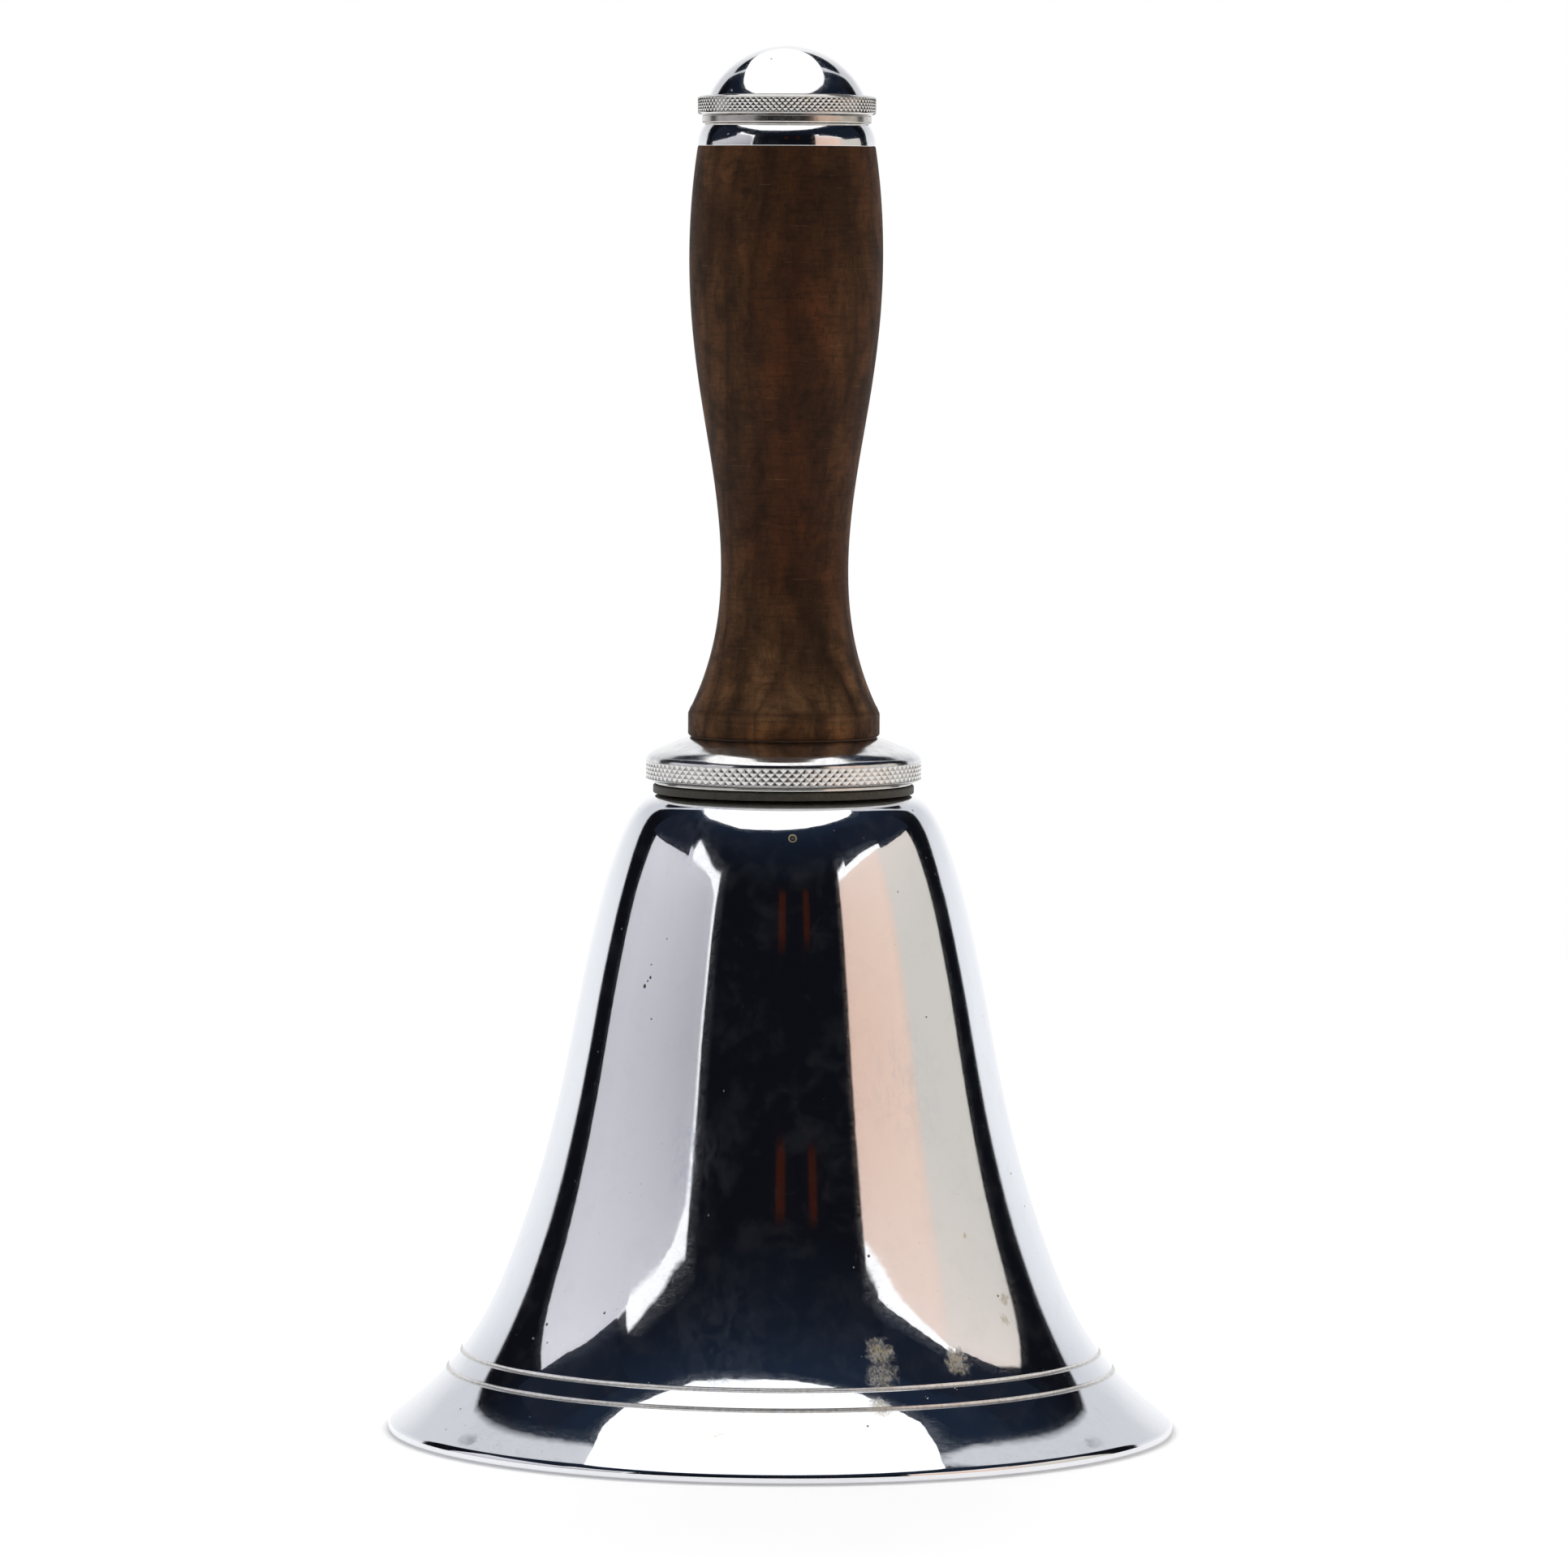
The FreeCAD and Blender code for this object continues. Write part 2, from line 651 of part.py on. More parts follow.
# -------------------------------------------------------------- screw collar
thread_ring = turned(
    "collar_thread_ring",
    [
        (d.collar_core, d.collar_low_z + 0.3),
        (d.collar_core + 0.3, d.collar_low_z),
        (d.collar_ring_radius - 0.2, d.collar_low_z),
        (d.collar_ring_radius, d.collar_low_z + 0.2),
        (d.collar_ring_radius, d.band_top_z),
        (d.collar_core, d.band_top_z),
    ],
)
helix(
    thread_ring,
    [
        (d.collar_core + 0.2, d.collar_low_z + 0.35),
        (d.collar_core + 0.2, d.collar_low_z + 1.35),
        (d.collar_crest, d.collar_low_z + 1.0),
        (d.collar_crest, d.collar_low_z + 0.7),
    ],
    d.neck_pitch,
    1.1,
)
node(thread_ring, "collar_thread_ring")

node(
    turned(
        "collar_knurled_band",
        [
            (d.collar_ring_radius, d.band_low_z),
            (d.band_radius - 1.1, d.band_low_z),
            (d.band_radius - 0.5, d.band_low_z + 0.5),
            (d.band_radius, d.band_low_z + 0.9),
            (d.band_radius, d.band_top_z),
            (d.collar_ring_radius, d.band_top_z),
        ],
    ),
    "collar_knurled_band",
)

node(
    turned(
        "collar_lid",
        [
            (25.0, d.band_top_z),
            (d.band_radius, d.band_top_z),
            (d.band_radius - 0.05, d.band_top_z + 0.3, [(28.2, 139.5), (27.75, 139.85)]),
            (27.2, 140.2, [(26.6, 140.62), (25.2, 141.18), (23.2, 141.9), (21.3, 142.75)]),
            (19.5, d.dome_top_z),
            (d.wood_bore - 0.1, d.dome_top_z),
            (d.wood_bore - 0.1, d.dome_inside_z),
            (19.0, d.dome_inside_z),
            (22.5, 140.3),
            (24.6, 139.3),
        ],
    ),
    "collar_lid",
)

# ------------------------------------------------------------ hollow handle
node(
    turned(
        "pour_tube",
        [
            (d.tube_inner, d.tube_low_z),
            (d.tube_outer, d.tube_low_z),
            (d.tube_outer, d.tube_top_z),
            (d.tube_inner, d.tube_top_z),
        ],
    ),
    "pour_tube",
)
nut_blank = doc.addObject("Part::Prism", "nut_blank")
nut_blank.Polygon = 6
nut_blank.setExpression("Circumradius", (d.nut_flats / math.sqrt(3.0)).text)
nut_blank.setExpression("Height", (d.nut_top_z - d.nut_low_z).text)
nut_blank.Placement = FreeCAD.Placement(Vector(0, 0, num(d.nut_low_z)), FreeCAD.Rotation())
nut_blank.setExpression("Placement.Base.z", d.nut_low_z.text)
node(cut("tube_nut", nut_blank, cylinder("nut_bore", d.tube_outer, 20, z=d.nut_low_z - 5)), "tube_nut")
node(
    turned(
        "tube_nut_washer",
        [
            (d.wood_bore - 0.1, d.nut_top_z),
            (d.nut_washer_radius, d.nut_top_z),
            (d.nut_washer_radius, d.dome_inside_z),
            (d.wood_bore - 0.1, d.dome_inside_z),
        ],
    ),
    "tube_nut_washer",
)
node(
    turned(
        "handle_washer",
        [
            (d.wood_bore, d.dome_top_z),
            (d.foot_washer_radius, d.dome_top_z),
            (d.foot_washer_radius, d.wood_low_z),
            (d.wood_bore, d.wood_low_z),
        ],
    ),
    "handle_washer",
)
WOOD = [
    (16.62, 154.92), (13.34, 165.55), (12.78, 182.32), (14.83, 198.79), (17.85, 215.13),
    (19.85, 231.65), (20.1, 248.26), (19.09, 259.32),
]
node(
    turned(
        "wooden_handle",
        [
            (d.wood_bore, d.wood_low_z),
            (d.wood_foot_radius - 0.3, d.wood_low_z),
            (d.wood_foot_radius, d.wood_low_z + 0.35),
            (d.wood_foot_radius, d.wood_low_z + 4.6),
            (19.15, 149.75),
            (19.0, 149.9, WOOD),
            (d.ferrule_radius - 0.05, d.wood_top_z),
            (d.wood_bore, d.wood_top_z),
        ],
    ),
    "wooden_handle",
)
node(
    turned(
        "ferrule",
        [
            (d.tube_outer, d.wood_top_z),
            (d.ferrule_radius, d.wood_top_z),
            (d.ferrule_radius, d.wood_top_z + 0.5, [(18.25, 266.2), (17.9, 268.0)]),
            (d.ferrule_top_radius, d.ferrule_top_z),
            (d.tube_outer, d.ferrule_top_z),
        ],
    ),
    "ferrule",
)
spout = turned(
    "spout",
    [
        (d.tube_outer, d.ferrule_top_z),
        (d.spout_core, d.ferrule_top_z),
        (d.spout_core, d.spout_top_z - 0.4),
        (d.spout_core - 0.4, d.spout_top_z),
        (d.tube_inner + 0.3, d.spout_top_z),
        (d.tube_inner, d.spout_top_z - 0.3),
        (d.tube_inner, d.tube_top_z),
        (d.tube_outer, d.tube_top_z),
    ],
)
helix(
    spout,
    [
        (d.spout_core - 0.2, d.ferrule_top_z + 2.2),
        (d.spout_crest, d.ferrule_top_z + 2.6),
        (d.spout_crest, d.ferrule_top_z + 2.8),
        (d.spout_core - 0.2, d.ferrule_top_z + 3.2),
    ],
    d.cap_pitch,
    1.3,
)
node(spout, "spout")

# ----------------------------------------------------------------------- cap
node(
    turned(
        "cap_base_ring",
        [
            (d.base_ring_inner, d.base_ring_low_z),
            (d.base_ring_outer - 0.3, d.base_ring_low_z),
            (d.base_ring_outer, d.base_ring_low_z + 0.3),
            (d.base_ring_outer, d.base_ring_top_z - 0.35),
            (d.base_ring_outer - 0.35, d.base_ring_top_z),
            (d.base_ring_inner, d.base_ring_top_z),
        ],
    ),
    "cap_base_ring",
)
node(
    turned(
        "cap_seal",
        [
            (0, d.seal_low_z),
            (d.seal_radius, d.seal_low_z),
            (d.seal_radius, d.seal_top_z),
            (0, d.seal_top_z),
        ],
    ),
    "cap_seal",
)
cap_thread = turned(
    "cap_thread_ring",
    [
        (d.cap_thread_core, d.cap_low_z),
        (d.cap_thread_outer, d.cap_low_z),
        (d.cap_thread_outer, d.cap_band_top_z),
        (d.cap_thread_core, d.cap_band_top_z),
    ],
)
helix(
    cap_thread,
    [
        (d.cap_thread_core + 0.2, d.cap_low_z + 0.25),
        (d.cap_thread_core + 0.2, d.cap_low_z + 1.05),
        (d.cap_thread_crest, d.cap_low_z + 0.75),
        (d.cap_thread_crest, d.cap_low_z + 0.55),
    ],
    d.cap_pitch,
    1.3,
)
node(cap_thread, "cap_thread_ring")
node(
    turned(
        "cap_knurled_ring",
        [
            (d.cap_thread_outer, d.cap_low_z),
            (d.cap_band_radius - 0.45, d.cap_low_z),
            (d.cap_band_radius, d.cap_low_z + 0.45),
            (d.cap_band_radius, d.cap_band_top_z - 0.75),
            (d.cap_band_radius - 0.45, d.cap_band_top_z - 0.25),
            (16.6, d.cap_band_top_z),
            (d.cap_thread_outer, d.cap_band_top_z),
        ],
    ),
    "cap_knurled_ring",
)
cz, cr, cw = num(d.cap_sphere_z), num(d.cap_sphere_radius), num(d.cap_wall)
zb = num(d.cap_band_top_z)
r_out = math.sqrt(cr ** 2 - (zb - cz) ** 2)
r_in = math.sqrt((cr - cw) ** 2 - (zb - cz) ** 2)
node(
    turned(
        "cap_dome",
        [
            (r_in, d.cap_band_top_z),
            (r_out, d.cap_band_top_z, bend((r_out, zb), (0, cz + cr), (0, cz))),
            (0, d.cap_sphere_z + d.cap_sphere_radius),
            (0, d.cap_sphere_z + d.cap_sphere_radius - d.cap_wall, bend((0, cz + cr - cw), (r_in, zb), (0, cz))),
        ],
    ),
    "cap_dome",
)

# ------------------------------------------------------- checks and files
doc.recompute()
for obj in doc.Objects:
    bad = [s for s in obj.State if s in ("Invalid", "Error")]
    assert not bad, "%s is %s" % (obj.Name, obj.State)
labels = [name for name, _ in nodes]
assert len(labels) == len(set(labels))
for name, obj in nodes:
    shape = obj.Shape
    assert not shape.isNull(), name + " is null"
    assert shape.isValid(), name + " is not valid"
    assert shape.Volume > 0, name + " has no volume"
for name, obj in nodes:
    obj.Shape.exportStep(os.path.join(OUT, name + ".step"))
    box = obj.Shape.optimalBoundingBox(True, False)
    print("%-22s solids %d  volume %9.1f  r %.2f  z %.2f..%.2f" % (
        name, len(obj.Shape.Solids), obj.Shape.Volume, box.XMax, box.ZMin, box.ZMax))
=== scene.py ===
import math
import random

import bpy
import numpy as np
from mathutils import Matrix


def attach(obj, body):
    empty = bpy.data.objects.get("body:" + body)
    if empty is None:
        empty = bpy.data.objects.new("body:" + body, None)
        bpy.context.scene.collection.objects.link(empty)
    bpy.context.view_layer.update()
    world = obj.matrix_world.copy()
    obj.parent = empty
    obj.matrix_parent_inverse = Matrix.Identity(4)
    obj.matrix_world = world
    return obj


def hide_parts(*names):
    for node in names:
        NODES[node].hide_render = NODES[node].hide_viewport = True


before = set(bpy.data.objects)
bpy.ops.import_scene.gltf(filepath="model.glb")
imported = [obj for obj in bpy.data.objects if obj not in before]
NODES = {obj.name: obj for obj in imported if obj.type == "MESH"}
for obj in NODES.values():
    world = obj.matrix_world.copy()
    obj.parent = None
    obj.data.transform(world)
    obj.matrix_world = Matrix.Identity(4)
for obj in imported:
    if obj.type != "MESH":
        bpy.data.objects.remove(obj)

random.seed(11)
MM = 0.001
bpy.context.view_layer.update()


# ------------------------------------------------------------ section curves
def clamped(poles, n):
    """Points and unit tangents of a clamped cubic with even knots."""
    poles = np.array(poles, float)
    m = len(poles)
    inner = m - 4
    knots = [0.0] * 4 + [i / (inner + 1.0) for i in range(1, inner + 1)] + [1.0] * 4
    ts = np.linspace(0, 1, n)

    def at(t):
        k = 3
        while k < m - 1 and t >= knots[k + 1]:
            k += 1
        p = [poles[j + k - 3].copy() for j in range(4)]
        for r in range(1, 4):
            for j in range(3, r - 1, -1):
                a = (t - knots[j + k - 3]) / (knots[j + 1 + k - r] - knots[j + k - 3])
                p[j] = (1 - a) * p[j - 1] + a * p[j]
        return p[3], (p[3] - p[2])

    pts, tans = [], []
    for t in ts:
        q, _ = at(t)
        a, _ = at(max(t - 1e-4, 0))
        b, _ = at(min(t + 1e-4, 1))
        d = b - a
        pts.append(q)
        tans.append(d / np.hypot(*d))
    return np.array(pts), np.array(tans)


def arc(cx, cz, r, a0, a1, n):
    a = np.radians(np.linspace(a0, a1, n))
    pts = np.stack([cx + r * np.cos(a), cz + r * np.sin(a)], 1)
    s = 1 if a1 > a0 else -1
    return pts, np.stack([-np.sin(a) * s, np.cos(a) * s], 1)


def section(items, fillet=0.12):
    """Closed half-section. Items are (r, z), (r, z, own fillet), or a pair of arrays (points, tangents).
    Gives points and outward normals with small round corners."""
    pts, tin, tout, fil = [], [], [], []
    for it in items:
        if isinstance(it[0], np.ndarray):
            for p, t in zip(*it):
                pts.append(np.array(p, float))
                tin.append(t)
                tout.append(t)
                fil.append(fillet)
        else:
            pts.append(np.array(it[:2], float))
            tin.append(None)
            tout.append(None)
            fil.append(it[2] if len(it) > 2 else fillet)
    n = len(pts)
    area = sum(pts[i][0] * pts[(i + 1) % n][1] - pts[(i + 1) % n][0] * pts[i][1] for i in range(n))
    if area < 0:
        pts, fil = pts[::-1], fil[::-1]
        tin, tout = [None if t is None else -t for t in tout[::-1]], [None if t is None else -t for t in tin[::-1]]
    chord = []
    for i in range(n):
        d = pts[(i + 1) % n] - pts[i]
        chord.append((np.hypot(*d), d / max(np.hypot(*d), 1e-12)))
    P, N = [], []
    for i in range(n):
        before, after = chord[i - 1], chord[i]
        a = tin[i] if tin[i] is not None and abs(np.dot(tin[i], before[1])) > math.cos(0.12) and np.dot(tin[i], before[1]) > 0 else before[1]
        b = tout[i] if tout[i] is not None and abs(np.dot(tout[i], after[1])) > math.cos(0.12) and np.dot(tout[i], after[1]) > 0 else after[1]
        turn = math.atan2(a[0] * b[1] - a[1] * b[0], np.dot(a, b))
        if pts[i][0] < 1e-6:
            P.append(pts[i])
            t = b if pts[i - 1][0] < 1e-6 else a
            N.append(np.array([0.0, -1.0 if t[0] > 0 else 1.0]))
            continue
        if abs(turn) < 0.14:
            t = a + b
            t /= np.hypot(*t)
            P.append(pts[i])
            N.append(np.array([t[1], -t[0]]))
            continue
        reach = min(fil[i] * math.tan(min(abs(turn), 2.6) / 2), before[0] * 0.45, after[0] * 0.45)
        p0, p1 = pts[i] - a * reach, pts[i] + b * reach
        steps = max(2, int(abs(turn) / 0.3))
        for k in range(steps + 1):
            f = k / steps
            P.append((1 - f) ** 2 * p0 + 2 * f * (1 - f) * pts[i] + f**2 * p1)
            t = a * (1 - f) + b * f
            if np.hypot(*t) < 1e-6:
                t = np.array([-a[1], a[0]])
            t /= np.hypot(*t)
            N.append(np.array([t[1], -t[0]]))
    return np.array(P), np.array(N)


def ring_mesh(name, P, N, seg=288, warp=None, sharp=None):
    """Turns a half-section about Z. warp(theta, P) gives a radial change in mm for each of the points."""
    th = np.arange(seg) * 2 * math.pi / seg
    c, s = np.cos(th), np.sin(th)
    m = len(P)
    R = np.repeat(P[:, 0][None, :], seg, 0)
    Z = np.repeat(P[:, 1][None, :], seg, 0)
    if warp is not None:
        R = R + warp(th[:, None], P[:, 0][None, :], P[:, 1][None, :])
    X, Y = R * c[:, None], R * s[:, None]
    index = np.zeros((seg, m), int)
    verts, normals = [], []
    pole = P[:, 0] < 1e-6
    for j in range(m):
        if pole[j]:
            index[:, j] = len(verts)
            verts.append((0.0, 0.0, P[j, 1] * MM))
            normals.append((0.0, 0.0, float(np.sign(N[j, 1]) or 1.0)))
        else:
            index[:, j] = len(verts) + np.arange(seg)
            verts.extend(np.stack([X[:, j], Y[:, j], Z[:, j]], 1) * MM)
            normals.extend(np.stack([N[j, 0] * c, N[j, 0] * s, np.full(seg, N[j, 1])], 1))
    faces = []
    for j in range(m):
        k = (j + 1) % m
        if pole[j] and pole[k]:
            continue
        a, b = index[:, j], index[:, k]
        a1, b1 = np.roll(a, -1), np.roll(b, -1)
        if pole[j]:
            faces.extend(zip(a.tolist(), b1.tolist(), b.tolist()))
        elif pole[k]:
            faces.extend(zip(a.tolist(), a1.tolist(), b.tolist()))
        else:
            faces.extend(zip(a.tolist(), a1.tolist(), b1.tolist(), b.tolist()))
    me = bpy.data.meshes.new(name)
    me.from_pydata([tuple(map(float, v)) for v in verts], [], faces)
    me.validate()
    me.polygons.foreach_set("use_smooth", [True] * len(me.polygons))
    if sharp is None:
        me.normals_split_custom_set_from_vertices([tuple(map(float, v)) for v in normals])
    else:
        me.set_sharp_from_angle(angle=sharp)
    me.update()
    ob = bpy.data.objects.new(name, me)
    bpy.context.scene.collection.objects.link(ob)
    return ob


# ------------------------------------------------------------- node shorthand
class Net:
    """Short names for building a node tree."""

    def __init__(self, tree):
        self.t = tree
        self.n = tree.nodes
        self.l = tree.links

    def put(self, sock, v):
        if isinstance(v, bpy.types.NodeSocket):
            self.l.new(v, sock)
        elif v is not None:
            sock.default_value = v

    def m(self, op, a, b=None, c=None, clamp=False):
        k = self.n.new("ShaderNodeMath")
        k.operation = op
        k.use_clamp = clamp
        for i, v in enumerate((a, b, c)):
            self.put(k.inputs[i], v) if v is not None else None
        return k.outputs[0]

    def vec(self, op, a, b=None, scale=None):
        k = self.n.new("ShaderNodeVectorMath")
        k.operation = op
        self.put(k.inputs[0], a)
        if b is not None:
            self.put(k.inputs[1], b)
        if scale is not None:
            self.put(k.inputs["Scale"], scale)
        return k.outputs["Value"] if op in ("LENGTH", "DISTANCE", "DOT_PRODUCT") else k.outputs[0]

    def split(self, v):
        k = self.n.new("ShaderNodeSeparateXYZ")
        self.put(k.inputs[0], v)
        return k.outputs

    def join(self, x, y, z):
        k = self.n.new("ShaderNodeCombineXYZ")
        for i, v in enumerate((x, y, z)):
            self.put(k.inputs[i], v)
        return k.outputs[0]

    def ramp(self, f, *stops, ease="LINEAR"):
        k = self.n.new("ShaderNodeValToRGB")
        e = k.color_ramp
        e.interpolation = ease
        while len(e.elements) < len(stops):
            e.elements.new(0.5)
        for el, (pos, col) in zip(e.elements, stops):
            el.position = pos
        for el, (pos, col) in zip(e.elements, stops):
            col = (col, col, col) if not isinstance(col, tuple) else col
            el.color = (*col, 1)
        self.put(k.inputs[0], f)
        return k.outputs[0]

    def step(self, v, edge, width):
        """0 below edge, 1 above it, over width."""
        return self.m("MULTIPLY_ADD", v, 1.0 / width, 0.5 - edge / width, clamp=True) if not isinstance(edge, bpy.types.NodeSocket) else self.m(
            "MULTIPLY_ADD", self.m("SUBTRACT", v, edge), 1.0 / width, 0.5, clamp=True
        )

    def mul(self, *vs):
        out = vs[0]
        for v in vs[1:]:
            out = self.m("MULTIPLY", out, v)
        return out

    def inv(self, v):
        return self.m("SUBTRACT", 1.0, v, clamp=True)

    def mix(self, f, a, b, kind="MIX"):
        k = self.n.new("ShaderNodeMix")
        k.data_type = "RGBA"
        k.blend_type = kind
        self.put(k.inputs[0], f)
        self.put(k.inputs[6], a if isinstance(a, bpy.types.NodeSocket) else (*a, 1))
        self.put(k.inputs[7], b if isinstance(b, bpy.types.NodeSocket) else (*b, 1))
        return k.outputs[2]

    def blend(self, f, a, b):
        """A number from a to b as f goes from 0 to 1."""
        k = self.n.new("ShaderNodeMix")
        k.data_type = "FLOAT"
        self.put(k.inputs[0], f)
        self.put(k.inputs[2], a)
        self.put(k.inputs[3], b)
        return k.outputs[0]

    def noise(self, v, scale, detail=3.0, rough=0.5, dist=0.0, out=0, dims="3D"):
        k = self.n.new("ShaderNodeTexNoise")
        k.noise_dimensions = dims
        self.put(k.inputs["Vector"], v)
        for key, val in (("Scale", scale), ("Detail", detail), ("Roughness", rough), ("Distortion", dist)):
            k.inputs[key].default_value = val
        return k.outputs[out]

    def cells(self, v, scale, feature="F1", out="Distance", jitter=1.0):
        k = self.n.new("ShaderNodeTexVoronoi")
        k.feature = feature
        self.put(k.inputs["Vector"], v)
        k.inputs["Scale"].default_value = scale
        k.inputs["Randomness"].default_value = jitter
        return k.outputs[out]

    def curve(self, v, lo, hi, points, span, start=0.0):
        """Piecewise line through (v, value) points; value within 0..span, counted from start."""
        k = self.n.new("ShaderNodeFloatCurve")
        c = k.mapping.curves[0]
        flat = [((a - lo) / (hi - lo), b / span) for a, b in points]
        while len(c.points) < len(flat):
            c.points.new(0.5, 0.5)
        for p, (a, b) in zip(c.points, flat):
            p.location = (a, b)
            p.handle_type = "VECTOR"
        k.mapping.update()
        self.put(k.inputs[1], self.m("MULTIPLY_ADD", v, 1.0 / (hi - lo), -lo / (hi - lo), clamp=True))
        return self.m("MULTIPLY_ADD", k.outputs[0], span, start)

    def bump(self, height, strength=1.0, distance=0.001, normal=None):
        k = self.n.new("ShaderNodeBump")
        k.inputs["Strength"].default_value = strength
        k.inputs["Distance"].default_value = distance
        self.put(k.inputs["Height"], height)
        if normal is not None:
            self.put(k.inputs["Normal"], normal)
        return k.outputs[0]

    def mm(self):
        """Object position in millimetres."""
        k = self.n.new("ShaderNodeTexCoord")
        return self.vec("SCALE", k.outputs["Object"], scale=1000.0)


def material(name):
    mat = bpy.data.materials.new(name)
    mat.use_nodes = True
    bsdf = mat.node_tree.nodes["Principled BSDF"]
    return mat, Net(mat.node_tree), bsdf


def turning(g, p, per_mm=6.0, detail=4.0):
    """Fine lines round the axis, from radius and height alone."""
    x, y, z = g.split(p)
    r = g.m("SQRT", g.m("ADD", g.m("MULTIPLY", x, x), g.m("MULTIPLY", y, y)))
    return g.noise(g.join(r, 0.0, z), per_mm, detail, 0.65), r, x, y, z


def chrome(name, tint=(0.835, 0.845, 0.87), rough=0.022, haze=0.5, pits=0.5, wave=1.0, spots=(), lines=(), chips=(), rings=(), smudge_and_painted_blue_veils=(), marks=0.25, dirt=0.0):
    """Polished plate with age: faint waviness, haze, pits, wipe scratches and yellowed spots, plus hazy smudges whose
    blue tint is a painted reflection.
    """
    mat, g, b = material(name)
    p = g.mm()
    x, y, z = g.split(p)
    broad = g.noise(p, 0.045, 4.0, 0.6)
    cloud = g.noise(p, 0.16, 6.0, 0.62, 0.4)
    fine = g.noise(p, 2.6, 3.0, 0.6)
    hazy = g.m("MULTIPLY", g.ramp(cloud, (0.50, 0.0), (0.78, 1.0)), haze)
    cell = g.cells(p, 0.34)
    chosen = g.split(g.cells(p, 0.34, out="Color"))[0]
    pit = g.mul(g.step(chosen, 1.0 - 0.16 * pits, 0.01), g.inv(g.step(cell, 0.085, 0.05)))
    cell2 = g.cells(p, 1.1)
    chosen2 = g.split(g.cells(p, 1.1, out="Color"))[1]
    grit = g.mul(g.step(chosen2, 1.0 - 0.10 * pits, 0.01), g.inv(g.step(cell2, 0.10, 0.06)), g.step(broad, 0.52, 0.1))
    scratch = g.noise(g.vec("MULTIPLY", p, (0.9, 0.9, 9.0)), 0.8, 2.0, 0.5, 1.6)
    scratch = g.mul(g.ramp(g.m("ABSOLUTE", g.m("SUBTRACT", scratch, 0.5)), (0.0, 1.0), (0.006, 0.0)), marks)
    stain = None
    for sx, sy, sz, size, amount in spots:
        d = g.vec("DISTANCE", p, (sx, sy, sz))
        ragged = g.m("ADD", d, g.m("MULTIPLY", g.m("SUBTRACT", g.noise(p, 0.75, 4.0, 0.65), 0.5), size * 1.9))
        one = g.m("MULTIPLY", g.inv(g.step(ragged, size * 0.75, size * 0.6)), amount)
        stain = one if stain is None else g.m("MAXIMUM", stain, one)
    grooves = None
    for level, half in lines:
        one = g.inv(g.step(g.m("ABSOLUTE", g.m("SUBTRACT", z, level)), half, 0.12))
        grooves = one if grooves is None else g.m("MAXIMUM", grooves, one)
    col = g.mix(hazy, tint, tuple(c * 0.93 for c in tint))
    col = g.mix(g.m("MULTIPLY", pit, 0.8), col, (0.10, 0.085, 0.06))
    col = g.mix(g.m("MULTIPLY", grit, 0.55), col, (0.16, 0.14, 0.10))
    r = g.m("ADD", g.m("MULTIPLY_ADD", fine, rough * 0.5, rough * 0.75), g.m("MULTIPLY", hazy, 0.06))
    metal = g.m("SUBTRACT", 1.0, g.m("MULTIPLY", hazy, 0.035))
    if dirt:
        film = g.m("MULTIPLY", g.ramp(g.noise(p, 0.4, 5.0, 0.7), (0.42, 0.0), (0.8, 1.0)), dirt)
        col = g.mix(film, col, (0.36, 0.31, 0.22))
        r = g.m("ADD", r, g.m("MULTIPLY", film, 0.16))
    if stain is not None:
        speck = g.ramp(g.noise(g.vec("MULTIPLY", p, (1.0, 1.0, 0.42)), 2.1, 5.0, 0.72), (0.36, 0.2), (0.60, 1.0))
        stain = g.m("MULTIPLY", stain, speck)
        col = g.mix(stain, col, g.mix(g.ramp(g.noise(p, 0.9, 3.0, 0.6), (0.42, 0.0), (0.58, 1.0)), (0.60, 0.58, 0.52), (0.58, 0.47, 0.20)))
        r = g.m("ADD", r, g.m("MULTIPLY", stain, 0.4))
        metal = g.m("SUBTRACT", metal, g.m("MULTIPLY", stain, 0.55))
    if grooves is not None:
        grime = g.noise(p, 1.2, 5.0, 0.7)
        col = g.mix(g.m("MULTIPLY", grooves, g.ramp(grime, (0.40, 0.12), (0.68, 0.75))), col, (0.47, 0.42, 0.33))
        r = g.m("ADD", r, g.m("MULTIPLY", grooves, 0.26))
        metal = g.m("SUBTRACT", metal, g.m("MULTIPLY", grooves, 0.22))
    for cx, cy, cz, size in chips:
        d = g.m("ADD", g.vec("DISTANCE", p, (cx, cy, cz)), g.m("MULTIPLY", g.m("SUBTRACT", g.noise(p, 3.0, 2.0), 0.5), size * 1.4))
        one = g.inv(g.step(d, size, 0.10))
        col = g.mix(one, col, (0.085, 0.062, 0.038))
        metal = g.m("SUBTRACT", metal, g.m("MULTIPLY", one, 0.6), clamp=True)
        r = g.m("ADD", r, g.m("MULTIPLY", one, 0.4))
    for cx, cy, cz, size, half in rings:
        one = g.inv(g.step(g.m("ABSOLUTE", g.m("SUBTRACT", g.vec("DISTANCE", p, (cx, cy, cz)), size)), half, 0.12))
        col = g.mix(one, col, (0.62, 0.50, 0.26))
        r = g.m("ADD", r, g.m("MULTIPLY", one, 0.35))
    # hazy smudge film (rougher), with a painted bluish reflection tint in its colour
    for vx, vy, vz, size, amount in smudge_and_painted_blue_veils:
        d = g.vec("DISTANCE", g.vec("MULTIPLY", p, (1.0, 1.0, 0.6)), (vx, vy, vz * 0.6))
        one = g.mul(g.inv(g.step(d, size * 0.55, size * 0.8)), g.ramp(g.noise(g.vec("MULTIPLY", p, (1.0, 1.0, 0.45)), 0.5, 6.0, 0.72, 0.8), (0.42, 0.0), (0.70, 1.0)), amount)
        col = g.mix(one, col, (0.50, 0.58, 0.74))
        r = g.m("ADD", r, g.m("MULTIPLY", one, 0.16))
        metal = g.m("SUBTRACT", metal, g.m("MULTIPLY", one, 0.06))
